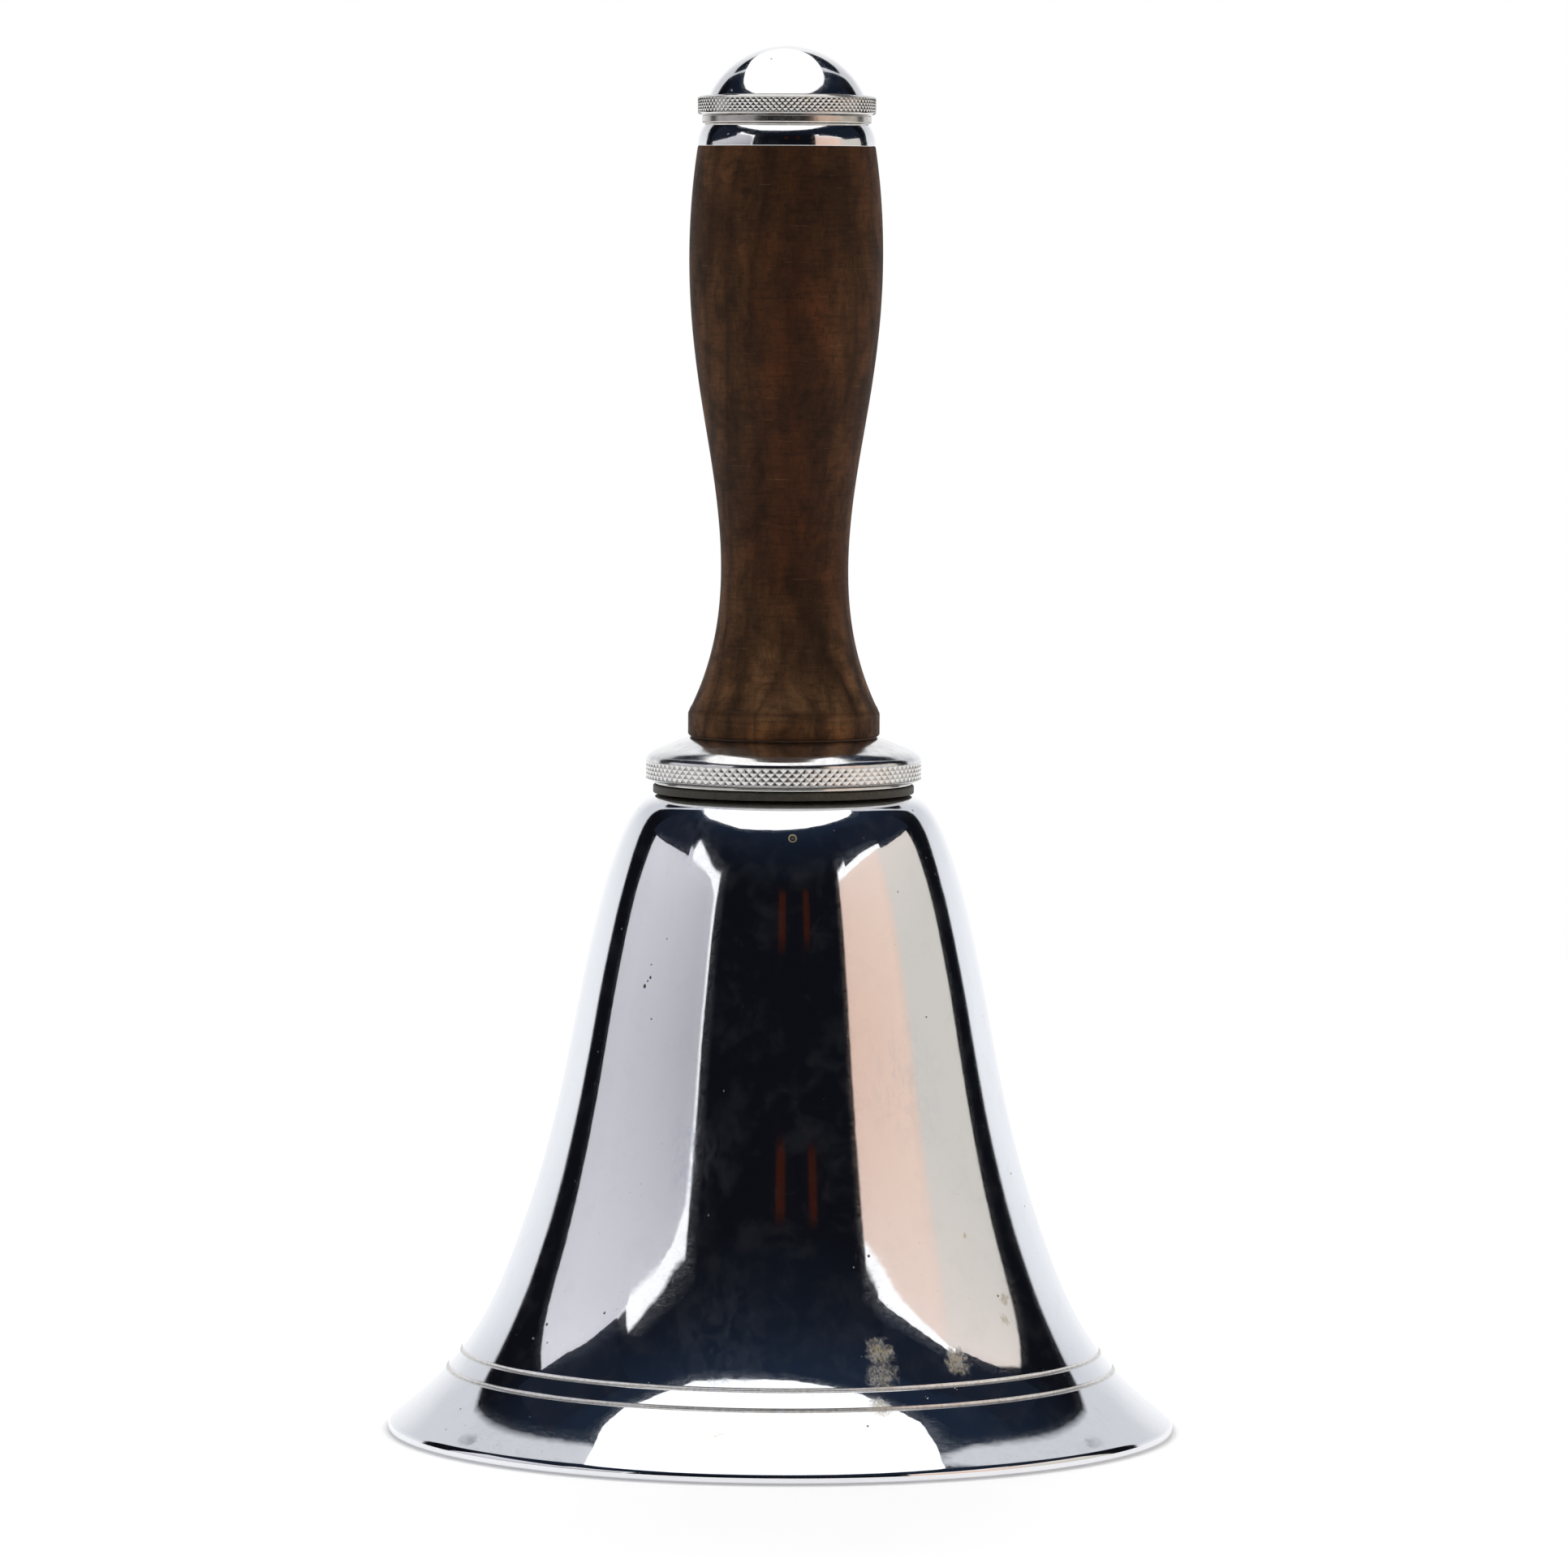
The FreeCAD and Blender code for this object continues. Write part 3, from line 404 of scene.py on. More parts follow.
    wiped = g.mul(scratch, g.ramp(g.noise(p, 0.07, 3.0, 0.6), (0.48, 0.0), (0.62, 1.0)))
    r = g.m("ADD", r, g.m("MULTIPLY", wiped, 0.35))
    g.put(b.inputs["Base Color"], col)
    g.put(b.inputs["Roughness"], r)
    g.put(b.inputs["Metallic"], metal)
    h = g.m("MULTIPLY", broad, 0.030 * wave)
    h = g.m("ADD", h, g.m("MULTIPLY", g.noise(p, 0.30, 2.0, 0.5), 0.0022 * wave))
    h = g.m("SUBTRACT", h, g.m("MULTIPLY", pit, 0.03))
    h = g.m("SUBTRACT", h, g.m("MULTIPLY", grit, 0.012))
    h = g.m("SUBTRACT", h, g.m("MULTIPLY", scratch, 0.0025))
    g.put(b.inputs["Normal"], g.bump(h, 1.0, MM))
    return mat


def turned_metal(name, base, dark, rough=0.28, lines=5.0, amp=0.006, patina=None):
    """Metal with turning marks, wear and a darker film in patches."""
    mat, g, b = material(name)
    p = g.mm()
    t, r, x, y, z = turning(g, p, lines)
    cloud = g.noise(p, 0.22, 6.0, 0.65, 0.5)
    fleck = g.noise(p, 3.2, 3.0, 0.6)
    col = g.mix(g.ramp(cloud, (0.42, 0.0), (0.72, 0.8)), base, dark)
    col = g.mix(g.m("MULTIPLY", g.ramp(fleck, (0.60, 0.0), (0.72, 1.0)), 0.35), col, tuple(c * 0.5 for c in dark))
    if patina:
        col = g.mix(g.ramp(g.noise(p, 0.5, 5.0, 0.7), (0.55, 0.0), (0.75, 0.7)), col, patina)
    g.put(b.inputs["Base Color"], col)
    g.put(b.inputs["Roughness"], g.m("ADD", g.m("MULTIPLY_ADD", t, 0.16, rough - 0.08), g.m("MULTIPLY", g.ramp(cloud, (0.45, 0.0), (0.75, 1.0)), 0.14)))
    b.inputs["Metallic"].default_value = 1.0
    h = g.m("ADD", g.m("MULTIPLY", t, amp), g.m("MULTIPLY", fleck, amp * 0.5))
    g.put(b.inputs["Normal"], g.bump(h, 1.0, MM))
    return mat


def rubber(name):
    mat, g, b = material(name)
    p = g.mm()
    cloud = g.noise(p, 0.5, 5.0, 0.65)
    dust = g.ramp(g.noise(p, 2.2, 4.0, 0.7), (0.52, 0.0), (0.75, 1.0))
    col = g.mix(g.ramp(cloud, (0.35, 0.0), (0.7, 1.0)), (0.020, 0.018, 0.012), (0.052, 0.045, 0.028))
    col = g.mix(g.m("MULTIPLY", dust, 0.35), col, (0.16, 0.14, 0.10))
    g.put(b.inputs["Base Color"], col)
    g.put(b.inputs["Roughness"], g.m("MULTIPLY_ADD", cloud, 0.25, 0.45))
    b.inputs["Specular IOR Level"].default_value = 0.45
    g.put(b.inputs["Normal"], g.bump(g.m("ADD", g.m("MULTIPLY", cloud, 0.03), g.m("MULTIPLY", dust, 0.012)), 1.0, MM))
    return mat


def fibre(name):
    mat, g, b = material(name)
    p = g.mm()
    lay = g.noise(g.vec("MULTIPLY", p, (1.0, 1.0, 7.0)), 1.3, 5.0, 0.7)
    spot = g.ramp(g.noise(p, 2.8, 3.0, 0.6), (0.45, 0.0), (0.7, 1.0))
    col = g.mix(g.ramp(lay, (0.35, 0.0), (0.65, 1.0)), (0.055, 0.028, 0.016), (0.12, 0.060, 0.030))
    col = g.mix(g.m("MULTIPLY", spot, 0.4), col, (0.02, 0.012, 0.008))
    g.put(b.inputs["Base Color"], col)
    g.put(b.inputs["Roughness"], g.m("MULTIPLY_ADD", lay, 0.2, 0.55))
    g.put(b.inputs["Normal"], g.bump(g.m("MULTIPLY", lay, 0.04), 1.0, MM))
    return mat


def cork(name):
    mat, g, b = material(name)
    p = g.mm()
    grain = g.cells(p, 1.3)
    tone = g.split(g.cells(p, 1.3, out="Color"))[0]
    pore = g.ramp(g.noise(p, 0.9, 5.0, 0.7), (0.56, 0.0), (0.64, 1.0))
    col = g.mix(tone, (0.42, 0.25, 0.12), (0.58, 0.38, 0.20))
    col = g.mix(g.m("MULTIPLY", g.ramp(grain, (0.30, 0.0), (0.62, 1.0)), 0.45), col, (0.24, 0.12, 0.05))
    col = g.mix(pore, col, (0.07, 0.035, 0.018))
    g.put(b.inputs["Base Color"], col)
    g.put(b.inputs["Roughness"], g.m("MULTIPLY_ADD", tone, 0.15, 0.7))
    g.put(b.inputs["Normal"], g.bump(g.m("ADD", g.m("MULTIPLY", pore, -0.2), g.m("MULTIPLY", grain, -0.06)), 1.0, MM))
    return mat


def wood(name):
    """Dark oiled hardwood turned on a lathe: wide growth rings about a pith in front and to the right of the handle,
    soot-black clouds, a red-brown figure, a paler foot, fine pores and lathe lines with short dry scuffs."""
    mat, g, b = material(name)
    p = g.mm()
    t, r, x, y, z = turning(g, p, 2.4, 5.0)
    wander = g.noise(g.vec("MULTIPLY", p, (0.6, 0.6, 0.25)), 0.12, 3.0, 0.55, 0.0, out=1)
    wx, wy, wz = g.split(wander)
    bx = g.m("ADD", x, g.m("MULTIPLY_ADD", wx, 10.0, -5.0))
    by = g.m("ADD", y, g.m("MULTIPLY_ADD", wy, 10.0, -5.0))
    # ring distance from a leaning pith line
    px = g.m("SUBTRACT", bx, g.m("MULTIPLY_ADD", z, 0.070, 15.0 - 0.070 * 244.0))
    py = g.m("SUBTRACT", by, g.m("MULTIPLY_ADD", z, -0.030, -33.0 + 0.030 * 244.0))
    ring = g.m("SQRT", g.m("ADD", g.m("MULTIPLY", px, px), g.m("MULTIPLY", py, py)))
    jag = g.noise(g.vec("MULTIPLY", p, (1.0, 1.0, 0.12)), 1.1, 4.0, 0.6)
    ring = g.m("ADD", ring, g.m("MULTIPLY_ADD", jag, 1.1, -0.55))
    late = g.ramp(g.m("FRACT", g.m("MULTIPLY", ring, 1.0 / 2.1)), (0.0, 0.7), (0.12, 0.1), (0.5, 0.0), (0.85, 0.4), (0.98, 1.0))
    late2 = g.ramp(g.m("FRACT", g.m("MULTIPLY", ring, 1.0 / 6.3)), (0.0, 0.7), (0.25, 0.0), (0.60, 0.1), (0.92, 1.0), (1.0, 0.9))
    grain = g.noise(g.vec("MULTIPLY", g.join(bx, by, z), (1.0, 1.0, 0.06)), 2.2, 5.0, 0.62)
    pores = g.ramp(g.noise(g.vec("MULTIPLY", g.join(bx, by, z), (1.0, 1.0, 0.09)), 5.0, 2.0, 0.5), (0.62, 0.0), (0.70, 1.0))
    cloud = g.ramp(g.noise(g.vec("MULTIPLY", p, (1.0, 1.0, 0.45)), 0.105, 5.0, 0.60, 0.8), (0.40, 0.0), (0.60, 1.0))
    soot = g.ramp(g.noise(g.vec("MULTIPLY", p, (1.0, 1.0, 0.70)), 0.23, 7.0, 0.66, 0.5), (0.47, 0.0), (0.66, 1.0))
    flame = g.ramp(g.noise(g.vec("MULTIPLY", p, (1.0, 1.0, 0.22)), 0.17, 5.0, 0.62, 0.6), (0.44, 0.0), (0.62, 1.0))
    mottle = g.noise(p, 0.9, 5.0, 0.7)
    ripple = g.noise(g.vec("MULTIPLY", p, (0.20, 0.20, 1.6)), 0.85, 5.0, 0.66)
    scuff = g.ramp(g.noise(g.vec("MULTIPLY", p, (0.16, 0.16, 3.0)), 1.0, 3.0, 0.55), (0.66, 0.0), (0.73, 1.0))
    mid = g.mul(g.step(z, 172.0, 26.0), g.inv(g.step(z, 242.0, 30.0)), g.inv(g.step(g.m("ABSOLUTE", g.m("SUBTRACT", x, 1.5)), 6.5, 9.0)))
    foot = g.inv(g.step(z, 163.0, 24.0))
    # painted shade: dark lines at the handle's bottom edge against the washer and in the crease above the foot's bead
    painted_foot_shade = g.ramp(g.m("MULTIPLY", g.m("SUBTRACT", z, 143.75), 1.0 / 8.0, clamp=True), (0.0, 1.0), (0.10, 0.2), (0.55, 0.3), (0.66, 1.0), (0.78, 0.1), (1.0, 0.0))
    base = g.mix(g.ramp(mottle, (0.30, 0.0), (0.70, 1.0)), (0.056, 0.0255, 0.0125), (0.104, 0.050, 0.0245))
    base = g.mix(g.m("MULTIPLY", g.ramp(grain, (0.38, 0.0), (0.66, 1.0)), 0.30), base, (0.125, 0.060, 0.027))
    base = g.mix(g.m("MULTIPLY", flame, 0.42), base, (0.125, 0.040, 0.0155))
    base = g.mix(g.mul(mid, g.ramp(grain, (0.30, 0.25), (0.60, 1.0)), 0.50), base, (0.120, 0.032, 0.0120))
    base = g.mix(g.mul(g.inv(g.step(g.m("ABSOLUTE", x), 5.0, 11.0)), g.step(z, 160.0, 40.0), 0.42), base, (0.030, 0.0120, 0.0060))
    base = g.mix(g.m("MULTIPLY", foot, 0.86), base, (0.262, 0.145, 0.075))
    base = g.mix(g.mul(g.inv(g.step(z, 147.2, 2.6)), 0.55), base, (0.300, 0.130, 0.045))
    # painted sheen: the handle's left and right sides, as seen from the front, are made lighter, the left side more
    painted_side_sheen = g.m("ADD", g.m("MULTIPLY", g.step(g.m("ABSOLUTE", x), 10.0, 7.0), 0.22), g.m("MULTIPLY", g.step(g.m("MULTIPLY", x, -1.0), 8.0, 7.0), 0.26))
    base = g.mix(painted_side_sheen, base, (0.150, 0.075, 0.036))
    heel = g.mul(g.step(x, 1.0, 5.0), g.inv(g.step(z, 167.0, 12.0)), g.step(z, 149.0, 3.0))
    base = g.mix(g.mul(heel, late, 0.55), base, (0.250, 0.150, 0.080))
    base = g.mix(g.mul(heel, late2, 0.75), base, (0.018, 0.012, 0.009))
    base = g.mix(g.m("MULTIPLY", late, 0.18), base, (0.026, 0.011, 0.006))
    base = g.mix(g.m("MULTIPLY", late2, 0.50), base, (0.024, 0.0125, 0.0075))
    base = g.mix(g.m("MULTIPLY", cloud, 0.62), base, (0.023, 0.0128, 0.0080))
    base = g.mix(g.m("MULTIPLY", soot, 0.60), base, (0.017, 0.0108, 0.0078))
    base = g.mix(g.m("MULTIPLY", g.ramp(ripple, (0.48, 0.0), (0.66, 1.0)), 0.38), base, (0.014, 0.0085, 0.006))
    base = g.mix(g.m("MULTIPLY", pores, 0.40), base, (0.010, 0.006, 0.004))
    # painted shade at the foot's bottom edge and crease
    base = g.mix(g.m("MULTIPLY", painted_foot_shade, 0.45), base, (0.022, 0.010, 0.006))
    base = g.mix(g.m("MULTIPLY", scuff, 0.22), base, (0.260, 0.165, 0.100))
    base = g.vec("MULTIPLY", base, (1.0, 0.92, 0.80))
    g.put(b.inputs["Base Color"], base)
    g.put(b.inputs["Roughness"], g.m("ADD", g.m("MULTIPLY_ADD", grain, 0.20, 0.46), g.m("MULTIPLY", soot, 0.06)))
    b.inputs["Specular IOR Level"].default_value = 0.07
    h = g.m("ADD", g.m("MULTIPLY", grain, 0.035), g.m("MULTIPLY", t, 0.03))
    h = g.m("SUBTRACT", h, g.m("MULTIPLY", pores, 0.06))
    h = g.m("ADD", h, g.m("MULTIPLY", ripple, 0.05))
    g.put(b.inputs["Normal"], g.bump(h, 1.0, MM))
    return mat


# ------------------------------------------------------------------ materials
BELL = chrome(
    "bell_chrome", haze=0.6, pits=0.55,
    spots=(
        (19.8, -58.9, 23.6, 3.3, 1.0), (20.3, -61.5, 19.6, 3.8, 0.75), (20.1, -65.9, 13.6, 2.6, 0.55),
        (35.7, -52.6, 20.9, 3.2, 0.95), (45.4, -36.2, 31.7, 1.6, 0.7), (45.6, -39.0, 28.0, 1.5, 0.6),
        (-12.6, -72.4, 9.0, 1.3, 0.35), (37.3, -38.0, 44.8, 0.7, 0.8), (10.0, 62.0, 26.0, 4.5, 0.6), (-44.0, 40.0, 30.0, 3.0, 0.5),
    ),
    chips=((-26.8, -30.7, 96.2, 0.30), (-27.4, -30.4, 95.5, 0.22), (-28.0, -30.1, 94.4, 0.42), (-64.8, -40.6, 6.7, 0.55), (-63.9, -42.0, 6.4, 0.35), (-47.4, -37.6, 26.2, 0.3), (1.9, -32.5, 124.8, 0.28), (52.0, -34.0, 17.0, 0.3)),
    rings=((1.9, -32.5, 124.8, 0.75, 0.17),),
    # smudges, partly real haze and partly a painted bluish reflection tint
    smudge_and_painted_blue_veils=((-15.7, -44.0, 61.0, 9.0, 0.8), (-12.0, -58.5, 24.0, 15.0, 0.75), (-16.0, -26.0, 128.0, 8.0, 0.8), (24.0, -37.0, 76.0, 12.0, 0.35), (14.0, -60.0, 22.0, 12.0, 0.4)),
    lines=((16.8, 0.42), (13.2, 0.42)),
)
TRIM = chrome("trim_chrome", tint=(0.82, 0.82, 0.83), rough=0.045, haze=0.8, pits=0.8, wave=0.35, marks=0.5, dirt=0.10)
LID = chrome("lid_chrome", tint=(0.80, 0.80, 0.81), rough=0.11, haze=1.3, pits=0.9, wave=0.3, marks=0.6, dirt=0.42)
KNURL = chrome("knurled_chrome", tint=(0.67, 0.665, 0.65), rough=0.30, haze=0.8, pits=0.6, wave=0.0, marks=0.0, dirt=0.30)
FINE = chrome("fine_knurled_chrome", tint=(0.56, 0.55, 0.535), rough=0.17, haze=0.8, pits=0.6, wave=0.0, marks=0.0, dirt=0.55)
RING = chrome("worn_trim_chrome", tint=(0.61, 0.585, 0.555), rough=0.20, haze=1.0, pits=1.2, wave=0.2, marks=0.4, dirt=0.55)
PLATED = chrome("plated_steel", tint=(0.66, 0.65, 0.62), rough=0.14, haze=1.0, pits=1.2, wave=0.3, marks=0.8, dirt=0.40)
STEEL = turned_metal("steel", (0.50, 0.49, 0.47), (0.26, 0.23, 0.20), 0.34, 5.0, 0.006, (0.16, 0.08, 0.035))
BRASS = turned_metal("brass", (0.60, 0.42, 0.19), (0.36, 0.22, 0.085), 0.30, 5.0, 0.005, (0.12, 0.075, 0.035))
CLAPPER = turned_metal("clapper_brass", (0.62, 0.45, 0.22), (0.33, 0.20, 0.08), 0.26, 4.0, 0.005, (0.10, 0.065, 0.035))
RUBBER, FIBRE, CORK, WOOD = rubber("gasket_rubber"), fibre("fibre"), cork("cork"), wood("handle_wood")

FINISH = {
    "bell_shell": (BELL, "bell_chrome"), "vessel_floor": (PLATED, "plated_steel"), "neck_ring": (PLATED, "plated_steel"),
    "hanger_plate": (PLATED, "plated_steel"), "clapper_bracket": (STEEL, "steel"), "clapper_pin": (STEEL, "steel"),
    "bracket_rivets": (BRASS, "brass"), "clapper_arm": (STEEL, "steel"), "clapper_ball": (CLAPPER, "clapper_brass"),
    "clapper_nut": (BRASS, "brass"), "strainer_cup": (PLATED, "plated_steel"), "gasket_ring": (RUBBER, "gasket_rubber"),
    "collar_thread_ring": (PLATED, "plated_steel"), "collar_knurled_band": (KNURL, "trim_chrome"), "collar_lid": (LID, "trim_chrome"),
    "pour_tube": (PLATED, "plated_steel"), "tube_nut": (BRASS, "brass"), "tube_nut_washer": (PLATED, "plated_steel"), "handle_washer": (FIBRE, "fibre"),
    "wooden_handle": (WOOD, "handle_wood"), "ferrule": (TRIM, "trim_chrome"), "spout": (PLATED, "plated_steel"),
    "cap_base_ring": (RING, "trim_chrome"), "cap_seal": (CORK, "cork"), "cap_thread_ring": (PLATED, "plated_steel"),
    "cap_knurled_ring": (FINE, "trim_chrome"), "cap_dome": (TRIM, "trim_chrome"),
}
for n, ob in NODES.items():
    ob.data.materials.clear()
    ob.data.materials.append(FINISH[n][0])
    ob.data.polygons.foreach_set("use_smooth", [True] * len(ob.data.polygons))


def stand_in(ob, body, node):
    ob.data.materials.append(FINISH[node][0])
    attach(ob, body)
    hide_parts(node)
    return ob


# ----------------------------------------------------------------- bell shell
OUTER = [
    (80.55, 2.55), (77.9, 4.75), (70.35, 10.6), (61.72, 22.56), (56.1, 36.19), (51.16, 50.13), (47.28, 64.21),
    (44.12, 78.77), (41.52, 92.84), (38.12, 108.01), (34.64, 120.57), (29.6, 131.8), (24.7, 131.7),
]


def inwards(points, wall):
    ns = []
    for (x0, y0), (x1, y1) in zip(points, points[1:]):
        q = math.hypot(x1 - x0, y1 - y0)
        ns.append((-(y1 - y0) / q, (x1 - x0) / q))
    out = []
    for i, (x, y) in enumerate(points):
        a, b = ns[max(i - 1, 0)], ns[min(i, len(ns) - 1)]
        k = wall / (1 + a[0] * b[0] + a[1] * b[1])
        out.append((x + k * (a[0] + b[0]), y + k * (a[1] + b[1])))
    return out


INNER = inwards(OUTER, 1.6)
INNER[0] = (78.2, 1.6)


def grooved(poles, levels, half=0.58, depth=0.27):
    """The bell's outer curve with round-bottomed lines cut at the given heights."""
    pts, tan = clamped(poles, 1600)
    s = np.concatenate([[0], np.cumsum(np.hypot(*np.diff(pts, axis=0).T))])
    keep = list(np.interp(np.linspace(0, 1, 150), np.linspace(0, 1, len(s)), s))
    centres = [np.interp(z, pts[:800, 1], s[:800]) for z in levels]
    keep = [k for k in keep if all(abs(k - c) > half + 0.25 for c in centres)]
    offsets = {}
    for c in centres:
        for q in np.linspace(-1, 1, 17):
            offsets[c + q * half] = (q, half)
        keep += [c - half - 0.10, c + half + 0.10]
    P, T = [], []
    for k in sorted(keep + list(offsets)):
        p = np.array([np.interp(k, s, pts[:, 0]), np.interp(k, s, pts[:, 1])])
        t = np.array([np.interp(k, s, tan[:, 0]), np.interp(k, s, tan[:, 1])])
        t /= np.hypot(*t)
        if k in offsets:
            q, h = offsets[k]
            n = np.array([t[1], -t[0]])
            rise = -depth * math.cos(q * math.pi / 2) ** 2
            slope = depth * math.pi / 2 / h * math.sin(q * math.pi)
            p = p + n * rise
            t = t + n * slope
            t /= np.hypot(*t)
        P.append(p)
        T.append(t)
    return np.array(P), np.array(T)


inner_pts, inner_tan = clamped(INNER, 90)
lip_pts, lip_tan = clamped([(81.2, 1.4), (81.2, 1.85), (80.84, 2.31), (80.55, 2.55)], 14)
P, N = section(
    [
        grooved(OUTER, (16.8, 13.2)),
        (24.05, 131.7, 0.2), (24.05, 130.1, 0.2),
        (inner_pts[::-1], -inner_tan[::-1]),
        (78.2, 0.5, 0.3), (78.7, 0.0, 0.3), (80.7, 0.0, 0.35), (81.2, 0.5, 0.35),
        (lip_pts[:-1], lip_tan[:-1]),
    ],
    0.15,
)
stand_in(ring_mesh("bell_shell_turned", P, N, 300), "bell", "bell_shell")

# --------------------------------------------------------------------- collar
P, N = section([(24.8, 131.9), (26.9, 131.9), (26.9, 133.6), (24.8, 133.6)], 0.35)
stand_in(ring_mesh("gasket_ring_turned", P, N, 256), "gasket", "gasket_ring")

P, N = section([(25.35, 133.75), (26.5, 133.75, 0.25), (26.5, 138.6), (25.35, 138.6)], 0.12)
stand_in(ring_mesh("collar_thread_ring_turned", P, N, 256), "handle", "collar_thread_ring")


def knurl(teeth, z0, z1, depth, slant, radius):
    """Diamond knurl: two sets of V cuts that cross, fading at both ends."""

    def warp(th, r, z):
        u = th * teeth / (2 * math.pi)
        v = (z - z0) / slant
        a = np.abs(((u + v) % 1.0) - 0.5) * 2
        b = np.abs(((u - v) % 1.0) - 0.5) * 2
        cut = depth * (1 - np.minimum(a, b))
        fade = np.clip((z - z0) / 0.12, 0, 1) * np.clip((z1 - z) / 0.12, 0, 1)
        return -cut * fade * (np.abs(r - radius) < 0.02)

    return warp


zs = np.linspace(135.0, 138.5, 29)
P, N = section(
    [(26.5, 134.4), (27.3, 134.4), (27.9, 134.62), (28.4, 134.95)] + [(28.4, z) for z in zs] + [(28.4, 138.6), (26.5, 138.6)], 0.05
)
band = ring_mesh("collar_knurled_band_cut", P, N, 960, knurl(100, 135.0, 138.5, 0.24, 1.72, 28.4), math.radians(22))
stand_in(band, "handle", "collar_knurled_band")

dome_pts, dome_tan = clamped([(27.2, 140.2), (26.6, 140.62), (25.2, 141.18), (23.2, 141.9), (21.3, 142.75), (19.5, 143.4)], 50)
turn_pts, turn_tan = clamped([(28.35, 138.9), (28.2, 139.5), (27.75, 139.85), (27.2, 140.2)], 14)
P, N = section(
    [
        (28.4, 138.6, 0.05), (turn_pts[:-1], turn_tan[:-1]), (dome_pts, dome_tan), (9.1, 143.4), (9.1, 141.2), (19.0, 141.2), (22.5, 140.3), (24.6, 139.3), (25.0, 138.6),
    ],
    0.25,
)
stand_in(ring_mesh("collar_lid_turned", P, N, 288), "handle", "collar_lid")

P, N = section([(9.2, 143.4), (19.2, 143.4, 0.1), (19.2, 143.75, 0.1), (9.2, 143.75)], 0.08)
stand_in(ring_mesh("handle_washer_turned", P, N, 192), "handle", "handle_washer")

# --------------------------------------------------------------------- handle
body_pts, body_tan = clamped(
    [(19.0, 149.9), (16.62, 154.92), (13.34, 165.55), (12.78, 182.32), (14.83, 198.79), (17.85, 215.13), (19.85, 231.65), (20.1, 248.26), (19.09, 259.32), (18.25, 264.8)],
    150,
)
P, N = section(
    [
        (9.2, 143.75), (19.45, 143.75, 0.35), (19.75, 144.1, 0.4), (19.75, 148.35, 0.8), (19.15, 149.75, 0.5),
        (body_pts, body_tan), (9.2, 264.8),
    ],
    0.22,
)
stand_in(ring_mesh("wooden_handle_turned", P, N, 288), "handle", "wooden_handle")

fer_pts, fer_tan = clamped([(18.3, 265.3), (18.25, 266.2), (17.9, 268.0), (16.8, 269.4)], 24)
P, N = section([(9.0, 264.8), (18.3, 264.8, 0.15), (fer_pts, fer_tan), (9.0, 269.4)], 0.12)
stand_in(ring_mesh("ferrule_turned", P, N, 256), "handle", "ferrule")

# ------------------------------------------------------------------------ cap
P, N = section([(12.1, 269.55), (17.4, 269.55, 0.3), (17.4, 271.1, 0.3), (12.1, 271.1)], 0.1)
stand_in(ring_mesh("cap_base_ring_turned", P, N, 256), "cap_ring", "cap_base_ring")

zs = np.linspace(271.75, 274.65, 25)
P, N = section(
    [(14.6, 271.3), (17.95, 271.3), (18.35, 271.62)] + [(18.35, z) for z in zs] + [(18.35, 274.72), (17.9, 275.0), (16.6, 275.25), (14.6, 275.25)],
    0.05,
)
ring = ring_mesh("cap_knurled_ring_cut", P, N, 930, knurl(93, 271.75, 274.65, 0.23, 1.24, 18.35), math.radians(22))
stand_in(ring, "cap", "cap_knurled_ring")

base_r = math.sqrt(17.6**2 - (275.25 - 267.8) ** 2)
a0 = math.degrees(math.asin((275.25 - 267.8) / 17.6))
top = arc(0, 267.8, 17.6, a0, 90, 60)
inner_a = math.degrees(math.asin((275.25 - 267.8) / 16.2))
low = arc(0, 267.8, 16.2, 90, inner_a, 30)
P, N = section([top, low], 0.12)
stand_in(ring_mesh("cap_dome_turned", P, N, 256), "cap", "cap_dome")

# ----------------------------------------------------------------- floor, room
mat, g, b = material("studio_floor")
p = g.mm()
x, y, z = g.split(p)
g.put(b.inputs["Base Color"], g.mix(g.noise(p, 0.05, 3.0), (0.90, 0.90, 0.90), (0.86, 0.86, 0.87)))
g.put(b.inputs["Roughness"], g.m("MULTIPLY_ADD", g.noise(p, 0.4, 3.0), 0.1, 0.6))
b.inputs["Emission Color"].default_value = (1, 1, 1, 1)
# evenly glowing floor, whose emission dips within about a millimetre of the bell's rim circle as a painted contact
# shadow, and rises again far out
painted_shadow_rim_distance = g.m("ABSOLUTE", g.m("SUBTRACT", g.m("SQRT", g.m("ADD", g.m("MULTIPLY", x, x), g.m("MULTIPLY", y, y))), 81.0))
g.put(b.inputs["Emission Strength"], g.m("ADD", g.m("MULTIPLY_ADD", g.step(painted_shadow_rim_distance, 1.1, 1.8), 0.32, 0.22), g.m("MULTIPLY", g.step(painted_shadow_rim_distance, 330.0, 500.0), 0.60)))
clear = g.n.new("ShaderNodeBsdfTransparent")
both = g.n.new("ShaderNodeMixShader")
g.l.new(g.n.new("ShaderNodeNewGeometry").outputs["Backfacing"], both.inputs[0])
g.l.new(b.outputs[0], both.inputs[1])
g.l.new(clear.outputs[0], both.inputs[2])
g.l.new(both.outputs[0], g.n["Material Output"].inputs[0])
bpy.ops.mesh.primitive_circle_add(vertices=96, radius=1.15, fill_type="NGON", location=(0, 0.0, -0.00005))
floor = bpy.context.object
floor.name = "studio_floor"
floor.data.materials.append(mat)

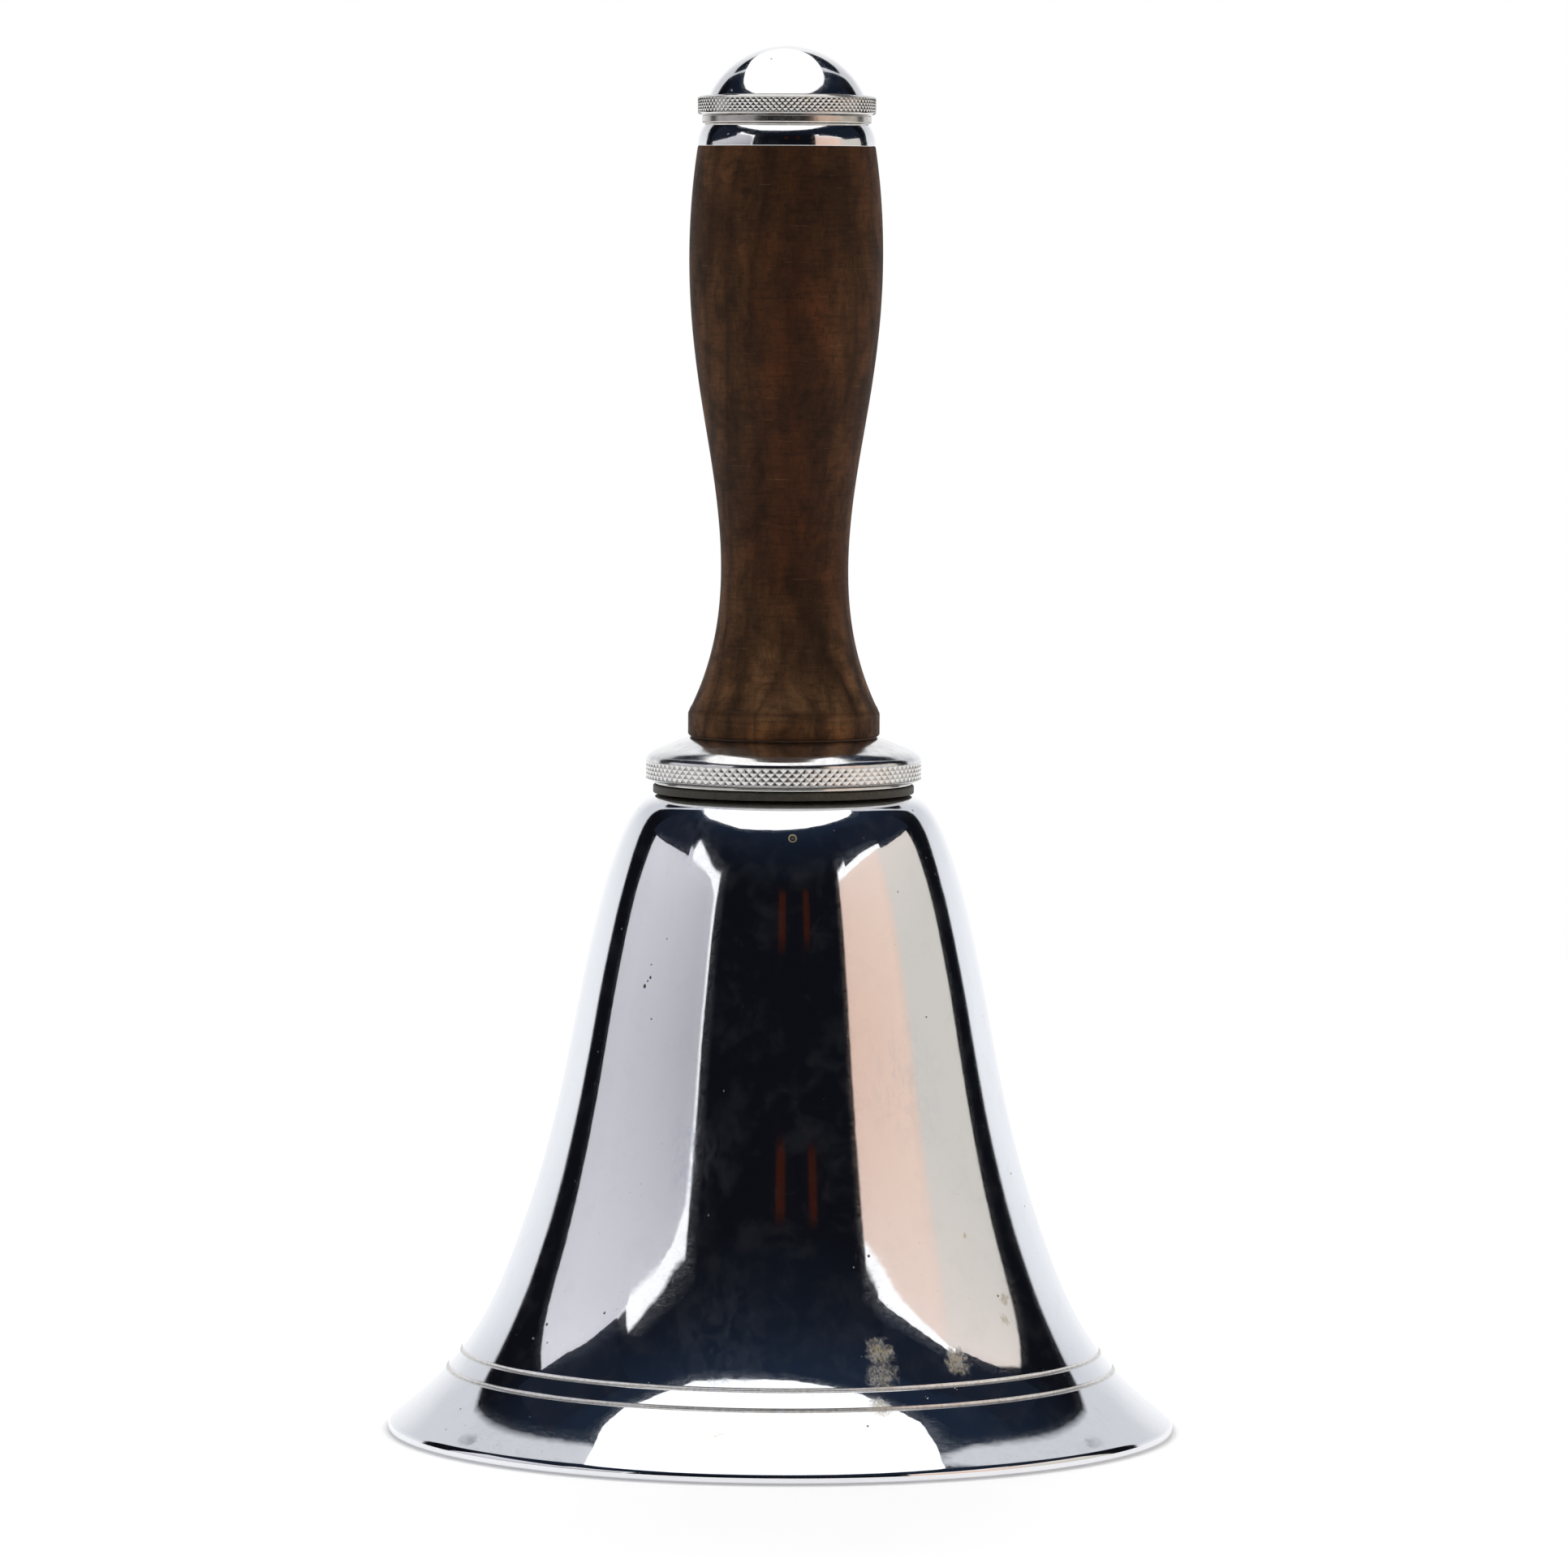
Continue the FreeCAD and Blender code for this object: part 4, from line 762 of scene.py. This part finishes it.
mat, g, b = material("overhead_panel")
p = g.mm()
weave = g.noise(p, 0.02, 2.0)
b.inputs["Base Color"].default_value = (0, 0, 0, 1)
b.inputs["Specular IOR Level"].default_value = 0.0
b.inputs["Emission Color"].default_value = (1, 1, 1, 1)
g.put(b.inputs["Emission Strength"], g.m("MULTIPLY_ADD", weave, 0.05, 1.33))
corners = [
    (-70, -532), (-240, -498), (-380, -430), (-465, -260), (-515, -70), (-475, 90), (-400, 220), (-310, 411), (-232, 640), (-150, 800),
    (-21, 875), (104, 660), (206, 400), (300, 210), (370, 80), (405, -50), (385, -200), (320, -350), (200, -465), (60, -522),
]
me = bpy.data.meshes.new("overhead_panel")
me.from_pydata([(a * MM, c * MM, 0.80) for a, c in corners], [], [tuple(range(len(corners)))[::-1]])
me.materials.append(mat)
panel = bpy.data.objects.new("overhead_panel", me)
bpy.context.scene.collection.objects.link(panel)
panel.visible_camera = False



def side_card(name, rows, lower, upper, glow):
    """A strip standing round the object: rows of (azimuth, distance mm, elevation seen from z 124)."""
    verts, faces = [], []
    for a, dist, e in rows:
        for extra in (lower, upper):
            q = math.radians(a)
            verts.append((dist * math.sin(q) * MM, -dist * math.cos(q) * MM, (124 + (dist - 40) * math.tan(math.radians(e + extra))) * MM))
    for k in range(len(rows) - 1):
        faces.append((2 * k, 2 * k + 2, 2 * k + 3, 2 * k + 1))
    me = bpy.data.meshes.new(name)
    me.from_pydata(verts, [], faces)
    mat, g, b = material(name)
    b.inputs["Base Color"].default_value = (0.004, 0.004, 0.006, 1)
    b.inputs["Specular IOR Level"].default_value = 0.0
    b.inputs["Roughness"].default_value = 1.0
    b.inputs["Emission Color"].default_value = glow + (1,)
    g.put(b.inputs["Emission Strength"], g.m("MULTIPLY_ADD", g.noise(g.mm(), 0.02, 2.0), 0.06, 0.97))
    me.materials.append(mat)
    ob = bpy.data.objects.new(name, me)
    bpy.context.scene.collection.objects.link(ob)
    ob.visible_camera = False


DARK = (0.0088, 0.0132, 0.0235)
side_card("left_flag", [(-116, 506, 24.7), (-107, 510, 24.8), (-97, 600, 25.9), (-86, 747, 27.2), (-80, 1100, 27.9), (-74, 1700, 28.4)], 0.0, 22.0, DARK)
side_card("right_flag", [(46, 2300, 31.2), (56, 1654, 32.0), (66, 966, 32.2), (75, 684, 32.2), (77.4, 650, 32.0), (77.5, 650, 30.1), (84, 578, 29.4), (101, 609, 28.4), (108, 600, 28.1), (116, 600, 27.8)], 0.0, 18.0, DARK)
side_card("right_edge_light", [(44, 2300, 31.0), (56, 1654, 32.0), (66, 966, 32.2), (75, 684, 32.2), (77.4, 650, 32.0)], -1.7, -0.02, (1.25, 1.25, 1.25))

world = bpy.data.worlds.new("studio")
bpy.context.scene.world = world
world.use_nodes = True
g = Net(world.node_tree)
for k in list(g.n):
    g.n.remove(k)
coord = g.n.new("ShaderNodeTexCoord").outputs["Generated"]
dx, dy, dz = g.split(g.vec("NORMALIZE", coord))
az = g.m("DEGREES", g.m("ARCTAN2", dx, g.m("MULTIPLY", dy, -1.0)))
el = g.m("DEGREES", g.m("ARCSINE", dz))
K = 1 / 0.84


def lit(*c):
    return tuple(v * K for v in c)


col = g.mix(g.step(el, 42.0, 26.0), lit(0.0040, 0.0046, 0.0068), lit(0.0110, 0.0180, 0.0340))
# two dull red strips in front
for centre, half in ((-0.5, 2.3), (15.5, 1.9)):
    bar = g.mul(
        g.inv(g.step(g.m("ABSOLUTE", g.m("SUBTRACT", az, centre)), half, 1.4)),
        g.step(el, 21.5, 1.5), g.inv(g.step(el, 28.5, 2.0)),
    )
    col = g.mix(bar, col, lit(0.030, 0.0080, 0.0050))
# white behind, with the flags' outer edge
side = g.m("ABSOLUTE", az)
edge = g.curve(el, 0.0, 90.0, [(0, 128.5), (10, 129.0), (20, 135.5), (25, 139.0), (30, 140.8), (35, 138.3), (42, 133.8), (51, 126.7), (59, 120.4), (66, 118.0), (90, 110.0)], 180.0)
ceiling = g.curve(side, 110.0, 180.0, [(110, 85.0), (133, 75.0), (137, 44.0), (140, 37.0), (143, 33.8), (150, 32.8), (157, 33.6), (168, 36.0), (180, 37.0)], 90.0)
backlit = g.mul(g.step(side, edge, 2.0), g.step(el, -6.0, 4.0), g.inv(g.step(el, ceiling, 1.5)))
pale = g.mix(g.step(el, 11.0, 18.0), lit(0.80, 0.815, 0.84), lit(0.60, 0.612, 0.64))
pale = g.mix(g.step(side, 163.0, 20.0), pale, lit(0.86, 0.865, 0.875))
col = g.mix(backlit, col, pale)
# left box
below = g.step(el, -14.0, 4.0)
in_l = g.mul(g.step(az, -112.0, 1.2), g.inv(g.step(az, -45.4, 0.9)), below)
grey_top = g.curve(az, -112.0, -44.0, [(-112, 35.2), (-99, 35.2), (-90, 34.5), (-81, 32.9), (-71.5, 29.8), (-70, 28.6), (-44, 28.4)], 60.0)
white_top = g.curve(az, -112.0, -44.0, [(-112, 35.2), (-99, 35.2), (-90, 34.5), (-81, 32.9), (-71.5, 30.2), (-70.2, 35.4), (-61, 32.0), (-50, 29.7), (-44, 29.6)], 60.0)
tone = g.m("ADD", g.curve(az, -112.0, -44.0, [(-112, 0.565), (-98, 0.56), (-75, 0.49), (-53, 0.405), (-44, 0.40)], 1.0), g.m("MULTIPLY", g.m("SUBTRACT", el, 13.0), 0.0065))
tone = g.m("MINIMUM", g.m("MAXIMUM", tone, 0.30), 0.66)
grey_l = g.vec("SCALE", g.join(lit(1.0, 1, 1)[0], lit(0.988, 1, 1)[0], lit(1.06, 1, 1)[0]), scale=tone)
col = g.mix(g.mul(in_l, g.inv(g.step(el, white_top, 0.9))), col, lit(1.02, 1.02, 1.03))
col = g.mix(g.mul(in_l, g.inv(g.step(el, grey_top, 0.9)), g.inv(g.step(az, g.curve(el, 0.0, 60.0, [(0, 13.4), (17, 13.4), (24.5, 12.6), (27.5, 8.0), (29, 0.0), (60, 0.0)], 60.0, -60.0), 1.6))), col, grey_l)
# right box
left_edge = g.curve(el, 0.0, 60.0, [(0, 37.6), (15, 38.2), (30.6, 40.0), (60, 41.0)], 60.0)
in_r = g.mul(g.step(az, left_edge, 1.0), g.inv(g.step(az, 112.5, 1.2)), below)
top_r = g.curve(az, 38.0, 112.5, [(38, 30.5), (43, 31.5), (56, 35.6), (66, 37.8), (76.2, 39.6), (77.2, 37.6), (84, 37.8), (101, 36.6), (112.5, 32.5)], 60.0)
col_r = g.mix(g.step(az, 74.0, 7.0), lit(0.71, 0.51, 0.415), lit(0.60, 0.572, 0.525))
col_r = g.mix(g.m("MULTIPLY", g.step(az, 58.0, 26.0), g.inv(g.step(az, 74.0, 8.0))), col_r, lit(0.76, 0.575, 0.475))
col_r = g.mix(g.m("MULTIPLY", g.step(el, 24.0, 20.0), 0.55), col_r, lit(0.84, 0.72, 0.66))
bar_low = g.curve(az, 38.0, 112.5, [(38, 28.5), (46, 29.6), (60, 32.2), (70, 34.6), (77, 36.6), (112.5, 38.0)], 60.0)
white_r = g.mul(g.step(el, bar_low, 0.8), g.inv(g.step(az, 77.0, 1.0)))
col_r = g.mix(white_r, col_r, lit(1.05, 1.05, 1.05))
col = g.mix(g.mul(in_r, g.inv(g.step(el, top_r, 0.9))), col, col_r)
seen = g.n.new("ShaderNodeLightPath").outputs["Is Camera Ray"]
col = g.mix(seen, col, (1.0, 1.0, 1.0))
bg = g.n.new("ShaderNodeBackground")
g.put(bg.inputs["Color"], col)
out = g.n.new("ShaderNodeOutputWorld")
g.l.new(bg.outputs[0], out.inputs[0])

# --------------------------------------------------------------------- camera
cam = bpy.data.cameras.new("camera")
cam.sensor_fit = "HORIZONTAL"
cam.sensor_width = 36.0
cam.lens = 192.9
cam.clip_start, cam.clip_end = 0.05, 50.0
view = bpy.data.objects.new("camera", cam)
view.matrix_world = Matrix.Translation((0.0001, -1.7291, 0.2484)) @ Matrix.Rotation(math.radians(86.204), 4, "X") @ Matrix.Rotation(math.radians(0.295), 4, "Z")
bpy.context.scene.collection.objects.link(view)
bpy.context.scene.camera = view
bpy.context.scene.view_settings.view_transform = "Standard"
